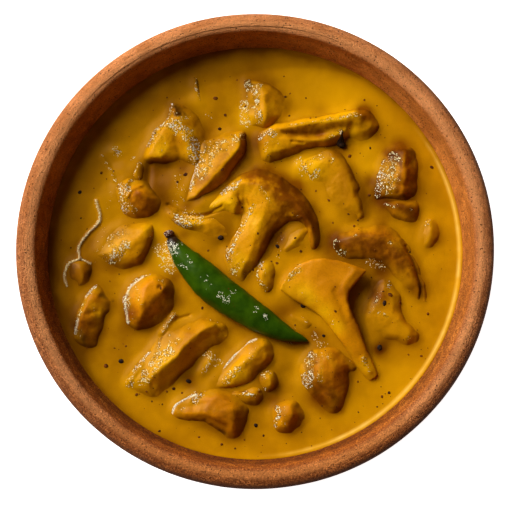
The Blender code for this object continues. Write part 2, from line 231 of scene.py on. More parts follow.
def relax(points, edges, rounds):
    """Evens out the points: each moves half way to the middle of its neighbours."""
    a, b = edges.T
    count = np.bincount(a, minlength=len(points)) + np.bincount(b, minlength=len(points))
    for _ in range(rounds):
        middle = np.empty_like(points)
        for k in range(3):
            total = np.bincount(a, points[b, k], len(points)) + np.bincount(b, points[a, k], len(points))
            middle[:, k] = total / np.maximum(count, 1)
        points = points + 0.5 * (middle - points)
    return points


WELDED = 0.001  # points of a node that are nearer than this are one
REGROWN = 1.4  # how much of what the rounding takes off is put on again, evenly


def fine_copy(node, voxel, rounds):
    """The node's form as one fine, even, rounded mesh in an object of its own."""
    name = node.name + "_wet"
    mesh = node.data.copy()
    weld = bmesh.new()
    weld.from_mesh(mesh)
    bmesh.ops.remove_doubles(weld, verts=weld.verts, dist=WELDED * MM)
    weld.to_mesh(mesh)
    weld.free()
    mesh.materials.clear()
    raw = add_object(name + "_raw", mesh)
    remesh = raw.modifiers.new("remesh", "REMESH")
    remesh.mode = "VOXEL"
    remesh.voxel_size = voxel * MM
    bpy.context.view_layer.update()
    graph = bpy.context.evaluated_depsgraph_get()
    fine = bpy.data.meshes.new_from_object(raw.evaluated_get(graph))
    bpy.data.objects.remove(raw)
    fine.name = name
    fine.shade_smooth()
    obj = add_object(name, fine)
    before = points_of(fine)
    after = relax(before, edges_of(fine), rounds)
    move_points(fine, after)
    normals = normals_of(fine)
    shrunk = np.maximum(((before - after) * normals).sum(1), 0).mean()
    move_points(fine, after + normals * shrunk * REGROWN)
    return obj


# Materials


class Nodes:
    """A small helper that adds nodes to a material and links them."""

    def __init__(self, name):
        self.material = bpy.data.materials.new(name)
        self.material.use_nodes = True
        self.tree = self.material.node_tree
        self.shader = self.tree.nodes["Principled BSDF"]

    def plug(self, socket, value):
        if isinstance(value, bpy.types.NodeSocket):
            self.tree.links.new(value, socket)
        elif socket.type == "RGBA":
            socket.default_value = (*value, 1)
        else:
            socket.default_value = value

    def add(self, kind, inputs=(), **settings):
        node = self.tree.nodes.new(kind)
        for key, value in settings.items():
            setattr(node, key, value)
        for key, value in dict(inputs).items():
            self.plug(node.inputs[key], value)
        return node

    def place(self):
        return self.add("ShaderNodeTexCoord").outputs["Object"]

    def grain(self, size, detail=3, roughness=0.55, vector=None):
        """Noise with features of the given size in millimetres."""
        scale = 1 / (size * MM)
        inputs = {"Vector": vector or self.place(), "Scale": scale, "Detail": detail, "Roughness": roughness}
        return self.add("ShaderNodeTexNoise", inputs).outputs["Fac"]

    def spots(self, size):
        inputs = {"Vector": self.place(), "Scale": 1 / (size * MM)}
        return self.add("ShaderNodeTexVoronoi", inputs).outputs["Distance"]

    def ramp(self, value, low, high, out_low=0.0, out_high=1.0):
        inputs = {"Value": value, "From Min": low, "From Max": high, "To Min": out_low, "To Max": out_high}
        return self.add("ShaderNodeMapRange", inputs, interpolation_type="SMOOTHSTEP").outputs["Result"]

    def math(self, operation, a, b=0.0):
        return self.add("ShaderNodeMath", {0: a, 1: b}, operation=operation).outputs[0]

    def times(self, first, *factors):
        for factor in factors:
            first = self.math("MULTIPLY", first, factor)
        return first

    def mix(self, share, a, b, blend="MIX"):
        node = self.add("ShaderNodeMix", data_type="RGBA", blend_type=blend)
        for socket, value in zip([s for s in node.inputs if s.enabled], (share, a, b)):
            self.plug(socket, value)
        return [s for s in node.outputs if s.enabled][0]

    def tint(self, share, base, colour):
        return self.mix(share, base, colour, "MULTIPLY")

    def layer(self, name):
        return self.add("ShaderNodeAttribute", attribute_name=name).outputs["Fac"]

    def bump(self, height, depth, under=None):
        """Raises the surface by height (0 to 1) times depth in millimetres."""
        inputs = {"Height": height, "Distance": depth * MM, "Strength": 1.0}
        if under:
            inputs["Normal"] = under
        return self.add("ShaderNodeBump", inputs).outputs["Normal"]

    def set(self, **values):
        for key, value in values.items():
            self.plug(self.shader.inputs[key.replace("_", " ")], value)
        return self.material


SAUCE_DEEP = (0.54, 0.230, 0.0006)
SAUCE_LIGHT = (0.68, 0.308, 0.0008)
SAUCE_SPICE = (0.54, 0.21, 0.0006)
# painted light on the sauce
SAUCE_PAINTED_LIGHT = (0.92, 0.45, 0.001)
SAUCE_WALL_HIGHLIGHT = (1.0, 0.66, 0.14)  # painted highlight: the thin line along the bowl's wall
# painted highlight on the sauce's thin lines
SAUCE_HIGHLIGHT_LINE = (1.0, 0.78, 0.42)
# painted sparkles (highlights) on the sauce
SAUCE_SPARKLE = (1.0, 0.90, 0.50)
SAUCE_SHADE = (0.50, 0.42, 0.40)  # painted shadow: what the sauce and the pieces' low parts are multiplied by near the wall, behind the pieces and in the listed hollows
SHADED = (0.36, 0.23, 0.25)  # painted shade: what sauce and pieces are multiplied by in the deepest hollows and on browner skin
# painted light: the paler yellow of the glint places on the flesh
FLESH_GLINT = (0.80, 0.42, 0.0015)
# painted light on the flesh
FLESH_PAINTED_LIGHT = (0.95, 0.50, 0.0018)
FLESH_LEE = (0.90, 0.76, 0.85)  # what flesh is multiplied by on the side away from the light
FLESH_CHAR = (0.045, 0.014, 0.004)
# painted highlight along lit edges of the flesh
FLESH_HIGHLIGHT_LINE = (1.0, 0.84, 0.55)
FLESH_SPARKLE = (1.0, 0.90, 0.46), (1.0, 0.97, 0.76)  # painted sparkles (highlights): at the edge and in the middle of a sparkling place
GOLDEN, FAN_GOLDEN, BROWN = (0.74, 0.310, 0.0012), (0.70, 0.264, 0.0010), (0.28, 0.076, 0.001)
ORANGE, ORANGE_BROWN = (0.70, 0.250, 0.0010), (0.24, 0.058, 0.001)
TAN, DARK_BROWN = (0.56, 0.190, 0.0015), (0.17, 0.042, 0.001)
SKIN_DARK, SKIN_LIGHT, SKIN_CHAR = (0.018, 0.060, 0.0006), (0.042, 0.105, 0.0010), (0.03, 0.014, 0.006)
# painted sparkles (highlights) on the chilli's skin and stalk
SKIN_SPARKLE, STALK_SPARKLE = (1.0, 1.0, 0.80), (0.95, 0.80, 0.62)
STALK_DARK, STALK_LIGHT = (0.050, 0.013, 0.006), (0.16, 0.048, 0.020)
SEED_DARK, SEED_LIGHT = (0.010, 0.004, 0.002), (0.050, 0.018, 0.005)
SPICE_DARK, SPICE_LIGHT = (0.060, 0.015, 0.002), (0.22, 0.060, 0.003)
CLAY_DARK, CLAY_LIGHT, CLAY_LIP_HIGHLIGHT = (0.66, 0.225, 0.058), (0.92, 0.350, 0.116), (0.96, 0.42, 0.15)
CLAY_STREAK, CLAY_COARSE, CLAY_SAND = (0.31, 0.088, 0.022), (0.26, 0.070, 0.018), (0.19, 0.050, 0.012)
CLAY_DOT, CLAY_PIT, CLAY_EDGE_SHADE = (0.10, 0.028, 0.010), (0.045, 0.012, 0.005), (0.085, 0.026, 0.009)
CLAY_SOAKED, CLAY_STAINED, CLAY_SOUTH_TINT = (1.0, 0.90, 0.30), (0.52, 0.46, 0.10), (0.92, 0.80, 0.56)


def sauce_colour(n):
    """The sauce's own colour, large soft patches and fine spice, with painted light mixed in where its layer
    is set.
    """
    base = n.mix(n.ramp(n.grain(9, 2), 0.3, 0.7), SAUCE_DEEP, SAUCE_LIGHT)
    base = n.mix(n.ramp(n.grain(0.5, 3, 0.7), 0.35, 0.7, 0, 0.30), base, SAUCE_SPICE)
    return n.mix(n.layer("painted_light"), base, SAUCE_PAINTED_LIGHT)


def darkened(n, colour):
    """The colour with the painted shadow of the sauce, and painted shade in the deepest hollows and on
    browner skin.
    """
    colour = n.tint(n.layer("painted_shadow"), colour, SAUCE_SHADE)
    return n.tint(n.layer("shade"), colour, SHADED)


def painted_sparkles(n, size):
    """Painted sparkles (highlights): fine pale dots of uneven size, denser where the glint layer is
    stronger.
    """
    glint = n.layer("glint")
    level = n.math("ADD", n.grain(1.7 * size, 2, 0.6), n.times(n.math("SUBTRACT", glint, 1.0), 0.24))
    reach = n.times(n.ramp(level, 0.35, 0.52), n.ramp(glint, 0.1, 0.5), 0.52)
    return n.ramp(n.math("SUBTRACT", reach, n.spots(size)), 0.0, 0.07)


def sauce_finish():
    n = Nodes("sauce")
    # painted highlight along the wall
    colour = n.mix(n.times(n.layer("line"), 0.8), sauce_colour(n), SAUCE_WALL_HIGHLIGHT)
    # painted shadow and shade, then painted highlight lines
    colour = n.mix(n.layer("highlight_line"), darkened(n, colour), SAUCE_HIGHLIGHT_LINE)
    # painted sparkles on the sauce's glint places
    sparkle_dots = painted_sparkles(n, 0.45)
    wave = n.bump(n.grain(2.6, 3), 0.09)
    fine = n.bump(n.grain(0.6, 2, 0.5), 0.014, wave)
    n.set(Base_Color=n.mix(sparkle_dots, colour, SAUCE_SPARKLE), Normal=n.bump(sparkle_dots, 0.06, fine))
    return n.set(Roughness=0.34, Specular_IOR_Level=0.035)


def flesh_finish(name, golden, brown):
    """Wet mushroom: golden flesh, brown where painted (brown skin, and painted shade on the side away from
    the light), under a thin coat of sauce near its foot.

    Painted light, painted shadow, painted shade and painted highlight lines lie where their layers are set.
    Where the glint layer is set, the flesh is painted paler and finely pitted, with painted sparkles and
    painted shade in the pits between them.
    """
    n = Nodes(name)
    patches = n.grain(3.0, 4, 0.65)
    fibre = n.ramp(n.grain(0.7, 4, 0.7), 0.45, 0.68)
    glint = n.layer("glint")
    brown_and_shade = n.math("ADD", n.layer("brown"), n.times(n.math("SUBTRACT", patches, 0.5), 0.9))
    # painted light: glint places are painted paler yellow
    lit = n.mix(n.times(glint, 0.6), golden, FLESH_GLINT)
    # painted light from the listed places
    lit = n.mix(n.times(n.layer("painted_light"), 0.8), lit, FLESH_PAINTED_LIGHT)
    lit = n.tint(n.layer("lee"), lit, FLESH_LEE)
    # brown skin, and painted shade on the side away from the light
    colour = n.mix(n.ramp(brown_and_shade, 0.05, 1.0), lit, brown)
    colour = n.mix(n.times(fibre, 0.16), colour, tuple(0.6 * c for c in brown))
    colour = n.mix(n.ramp(n.layer("char"), 0.2, 0.9), colour, FLESH_CHAR)
    colour = n.mix(n.layer("coat"), colour, sauce_colour(n))
    # painted shadow and shade, then painted highlight lines along lit edges
    colour = n.mix(n.layer("highlight_line"), darkened(n, colour), FLESH_HIGHLIGHT_LINE)
    # painted sparkles, and painted shade in the small pits between them
    sparkle_dots = painted_sparkles(n, 0.49)
    pit_shade = n.times(n.ramp(n.grain(0.55, 2, 0.6), 0.53, 0.46), n.ramp(glint, 0.2, 0.9))
    colour = n.mix(n.times(pit_shade, 0.55), colour, tuple(0.5 * c for c in brown))
    colour = n.mix(sparkle_dots, colour, n.mix(n.ramp(glint, 0.7, 1.0), *FLESH_SPARKLE))
    soft = n.bump(n.grain(1.9, 3, 0.55), 0.10)
    n.set(Base_Color=colour, Normal=n.bump(n.math("SUBTRACT", sparkle_dots, pit_shade), 0.12, soft))
    return n.set(Roughness=0.36, Specular_IOR_Level=0.06)


def chilli_finish():
    n = Nodes("chilli_skin")
    tone = n.mix(n.ramp(n.grain(6, 3), 0.3, 0.7), SKIN_DARK, SKIN_LIGHT)
    tone = n.mix(n.ramp(n.layer("char"), 0.2, 0.9), tone, SKIN_CHAR)
    # painted sparkles on the chilli's glint patches
    sparkle_dots = painted_sparkles(n, 0.42)
    relief = n.bump(sparkle_dots, 0.08, n.bump(n.grain(2.2, 2), 0.12))
    n.set(Base_Color=n.mix(sparkle_dots, tone, SKIN_SPARKLE), Normal=relief)
    return n.set(Roughness=0.28, Specular_IOR_Level=0.2)


def stalk_finish():
    n = Nodes("stalk")
    tone = n.mix(n.ramp(n.grain(0.6, 4, 0.7), 0.4, 0.65), STALK_DARK, STALK_LIGHT)
    # painted sparkles all over the stalk
    tone = n.mix(painted_sparkles(n, 0.42), tone, STALK_SPARKLE)
    n.set(Base_Color=tone, Normal=n.bump(n.grain(0.5, 3), 0.12))
    return n.set(Roughness=0.55, Specular_IOR_Level=0.15)


def seed_finish():
    n = Nodes("seed")
    tone = n.mix(n.ramp(n.grain(0.8, 3), 0.4, 0.7), SEED_DARK, SEED_LIGHT)
    n.set(Base_Color=tone, Normal=n.bump(n.grain(0.5, 2), 0.08))
    return n.set(Roughness=0.6, Specular_IOR_Level=0.15)


def spice_finish():
    n = Nodes("spice")
    tone = n.mix(n.ramp(n.grain(4.0, 2), 0.4, 0.6), SPICE_DARK, SPICE_LIGHT)
    n.set(Base_Color=tone, Normal=n.bump(n.grain(0.4, 2), 0.05))
    return n.set(Roughness=0.7, Specular_IOR_Level=0.1)


LIP_HIGHLIGHT_FROM, LIP_HIGHLIGHT_TO = (76.8, 78.6), (81.4, 79.4)  # radii between which the lip gets a painted highlight on its inner edge
SOAKED_FROM = (77.4, 76.4)  # radii over which the sauce's oil shows in the clay
STAINED_FROM = (75.9, 74.9)  # radii over which the wall is stained dark
SOUTH_TINT_FROM = (-45, -72)  # y over which the near rim is tinted darker and redder
EDGE_SHADE_FROM = (RIM_RADIUS - 2.2, RIM_RADIUS - 0.2)  # radii over which the lip's outer edge gets painted shade


def clay_finish():
    """Unglazed terracotta: fine grain, small dark pits and faint streaks round the bowl. The dark grain is
    stronger towards the south and weaker towards the north, which paints the shaded north side lighter; the
    lip has a painted highlight on its inner edge and painted shade on its outer edge, strongest away from
    the light.

    The layer used keeps the stains and the lip's painted highlight and shade to the inside and the lip.
    """
    n = Nodes("clay")
    split = n.add("ShaderNodeSeparateXYZ", {"Vector": n.place()})
    x, y, z = (split.outputs[k] for k in range(3))
    radius = n.math("SQRT", n.math("ADD", n.times(x, x), n.times(y, y)))
    used = n.layer("used")

    def over(value, span, out_low=0.0, out_high=1.0):
        return n.ramp(value, span[0] * MM, span[1] * MM, out_low, out_high)

    across = n.math("ADD", radius, n.times(z, -0.8))
    around = [n.math("DIVIDE", side, n.times(radius, 60.0)) for side in (x, y)]
    turned = n.add("ShaderNodeCombineXYZ", {0: around[0], 1: around[1], 2: across}).outputs[0]
    streaks = n.ramp(n.grain(1.0, 4, 0.7, turned), 0.40, 0.62)
    coarse = n.ramp(n.grain(2.2, 4, 0.7), 0.40, 0.70)
    sand = n.ramp(n.grain(0.50, 3, 0.75), 0.40, 0.60)
    base = n.mix(n.ramp(n.grain(12, 4, 0.65), 0.34, 0.66), CLAY_DARK, CLAY_LIGHT)
    # painted light and shade: the dark grain is stronger towards the south and weaker towards the shaded
    # north, which reads lighter
    painted_side_shade = over(y, (-70, 60), 1.30, 0.42)
    base = n.mix(n.times(streaks, 0.55, painted_side_shade), base, CLAY_STREAK)
    base = n.mix(n.times(coarse, 0.45, painted_side_shade), base, CLAY_COARSE)
    base = n.mix(n.times(sand, 0.75, painted_side_shade), base, CLAY_SAND)
    # painted highlight along the lip's inner edge
    base = n.mix(n.times(over(radius, LIP_HIGHLIGHT_FROM), over(radius, LIP_HIGHLIGHT_TO), used, 0.38), base, CLAY_LIP_HIGHLIGHT)
    base = n.tint(n.times(over(radius, SOAKED_FROM), 0.75, used), base, CLAY_SOAKED)
    # the stain fades towards the north, which paints the shaded north wall lighter
    stain_and_painted_light = n.times(over(radius, STAINED_FROM), over(y, (-80, 20), 1.0, 0.1), used)
    base = n.tint(stain_and_painted_light, base, CLAY_STAINED)
    # the near rim tinted darker and redder
    base = n.tint(over(y, SOUTH_TINT_FROM), base, CLAY_SOUTH_TINT)
    dots = n.times(n.ramp(n.spots(0.75), 0.30, 0.16), n.ramp(n.grain(2.4, 3), 0.46, 0.56))
    pits = n.times(n.ramp(n.spots(1.25), 0.24, 0.10), n.ramp(n.grain(4, 3), 0.42, 0.58))
    base = n.mix(n.times(dots, 0.60), base, CLAY_DOT)
    base = n.mix(n.times(pits, 0.85), base, CLAY_PIT)
    # painted shade on the lip's outer edge, strongest on the side away from the light
    leeward = n.math("SUBTRACT", n.times(x, -LIGHT_FROM[0]), n.times(y, LIGHT_FROM[1]))
    painted_edge_shade = n.times(over(radius, EDGE_SHADE_FROM), over(leeward, (-50, 50), 0.30, 0.95), used)
    base = n.mix(painted_edge_shade, base, CLAY_EDGE_SHADE)
    relief = n.bump(streaks, 0.12)
    relief = n.bump(n.grain(0.6, 3, 0.7), 0.42, relief)
    relief = n.bump(n.math("SUBTRACT", 1.0, pits), 0.35, relief)
    n.set(Base_Color=base, Normal=relief)
    return n.set(Roughness=0.85, Specular_IOR_Level=0.2)


# The bowl


TURNS = 400  # points round the bowl
TURNED_SIZE = 60  # the radius that the ridges' noise is laid on, so they have the same size everywhere
RIDGES_DRAWN = 14  # how many times longer than high the ridges from the potter's fingers are
INNER_RIDGE, OUTER_RIDGE = 0.22, 0.16  # how far they stand out
UNEVEN_LIP = 0.35  # how far the lip departs from a true circle
UNEVEN_TOP = 0.25  # and how far its top dips
LIP_ROWS = 4  # rows past the section's middle that the stains and the lip's painted highlight and shade always take in
USED_BELOW_LIP = 6  # how far they reach down outside

LIP_LINE = [  # the lip's section from its inner to its outer side: (distance from the outer edge, height)
    (7.62, 55.6), (7.42, 56.5), (7.2, 57.4), (7.14, 57.9), (7.05, 58.4), (6.88, 58.8), (6.6, 59.1),
    (6.2, 59.35), (5.7, 59.57), (5.2, 59.73), (4.6, 59.87), (4.1, 59.94), (3.7, 59.95), (3.1, 59.9),
    (2.6, 59.81), (2.0, 59.63), (1.5, 59.41), (1.0, 59.1), (0.6, 58.76), (0.3, 58.35), (0.1, 57.9),
    (0.0, 57.2), (0.0, 56.5),
]


def outer_radius(height):
    spread = math.sin(math.pi / 2 * (height / RIM_HEIGHT) ** OUTER_FULLNESS)
    return FOOT_RADIUS + (RIM_RADIUS - FOOT_RADIUS) * spread


def inner_radius(height):
    share = (height - FLOOR) / (RIM_HEIGHT - FLOOR)
    return (RIM_RADIUS - 2 * LIP) * max(share, 0) ** INNER_FULLNESS


def bowl_section():
    """(radius, height) from the middle of the bowl's floor, over the lip, to the middle of its foot."""
    section = [(0.02, FLOOR), (15, FLOOR + 0.4), (FLOOR_RADIUS, FLOOR + 1.0)]
    section += [(inner_radius(z), z) for z in np.arange(12.5, LIP_LINE[0][1] - 0.4, 0.55)]
    section += [(RIM_RADIUS - off, z) for off, z in curve(LIP_LINE, 3)]
    section += [(outer_radius(z), z) for z in np.arange(LIP_LINE[-1][1] - 1.0, 2.0, -0.8)]
    section += [(FOOT_RADIUS + 3.0, 1.1), (FOOT_RADIUS + 1.0, 0.15), (FOOT_RADIUS, 0.0), (0.02, 0.0)]
    return np.array(section)


def build_bowl(finish):
    """The bowl's section, turned, with the faint ridges that the potter's fingers leave."""
    section = bowl_section()
    rows = len(section)
    radius, height = (np.repeat(section[:, k][:, None], TURNS, 1) for k in (0, 1))
    angle = np.repeat((np.arange(TURNS) / TURNS * 2 * math.pi)[None], rows, 0)
    round_x, round_y = TURNED_SIZE * np.cos(angle), TURNED_SIZE * np.sin(angle)
    flat = np.stack([round_x, round_y, height * RIDGES_DRAWN], -1).reshape(-1, 3)
    fingers = noise(flat, 26, 41, 3).reshape(radius.shape)
    slow = noise(flat * [1, 1, 0.02], 55, 43, 2).reshape(radius.shape)
    row = np.arange(rows)[:, None]
    inside = row < rows // 2
    wall = rise_to(height, 12, 20) * rise_to(RIM_HEIGHT - height, 1.0, 5)
    radius = radius + wall * fingers * np.where(inside, INNER_RIDGE, OUTER_RIDGE)
    lip = rise_to(height, 50, 58)
    radius = radius + np.minimum(lip * slow * UNEVEN_LIP, 0.0) * np.where(inside, -1, 1)
    height = height + np.where(height > 56, -UNEVEN_TOP * np.abs(slow), 0)
    points = np.stack([radius * np.cos(angle), radius * np.sin(angle), height], -1).reshape(-1, 3)
    i, j = np.meshgrid(np.arange(rows - 1), np.arange(TURNS), indexing="ij")
    k = (j + 1) % TURNS
    upper, lower = i * TURNS, (i + 1) * TURNS
    faces = np.stack([upper + j, upper + k, lower + k, lower + j], -1).reshape(-1, 4)
    ends = [list(range(TURNS))[::-1], list(range((rows - 1) * TURNS, rows * TURNS))]
    bowl = new_object("clay_bowl", points, faces.tolist() + ends)
    face_outwards(bowl.data)
    below_lip = 1 - rise_to(LIP_LINE[-1][1] - height, 0, USED_BELOW_LIP)
    paint(bowl, "used", np.where(row < rows // 2 + LIP_ROWS, 1, below_lip).ravel())
    dress(bowl, finish, "clay", "bowl")


# The pieces
#
# rim: the outline as (x, y, height); chains: lines of (x, y, height) that the top runs through
# flank: the slope below the outline, where it isn't FLANK; sunk: the share of sauce colour it has at least
# lines: (line, height, width), raised or cut; spots: (x, y, height, radius), raised or cut
# brown, char, streak and glint: (line, half width, share) of what is painted; brown is brown skin and
# painted shade on flanks away from the light, streak painted highlight along lit edges, glint painted
# sparkle

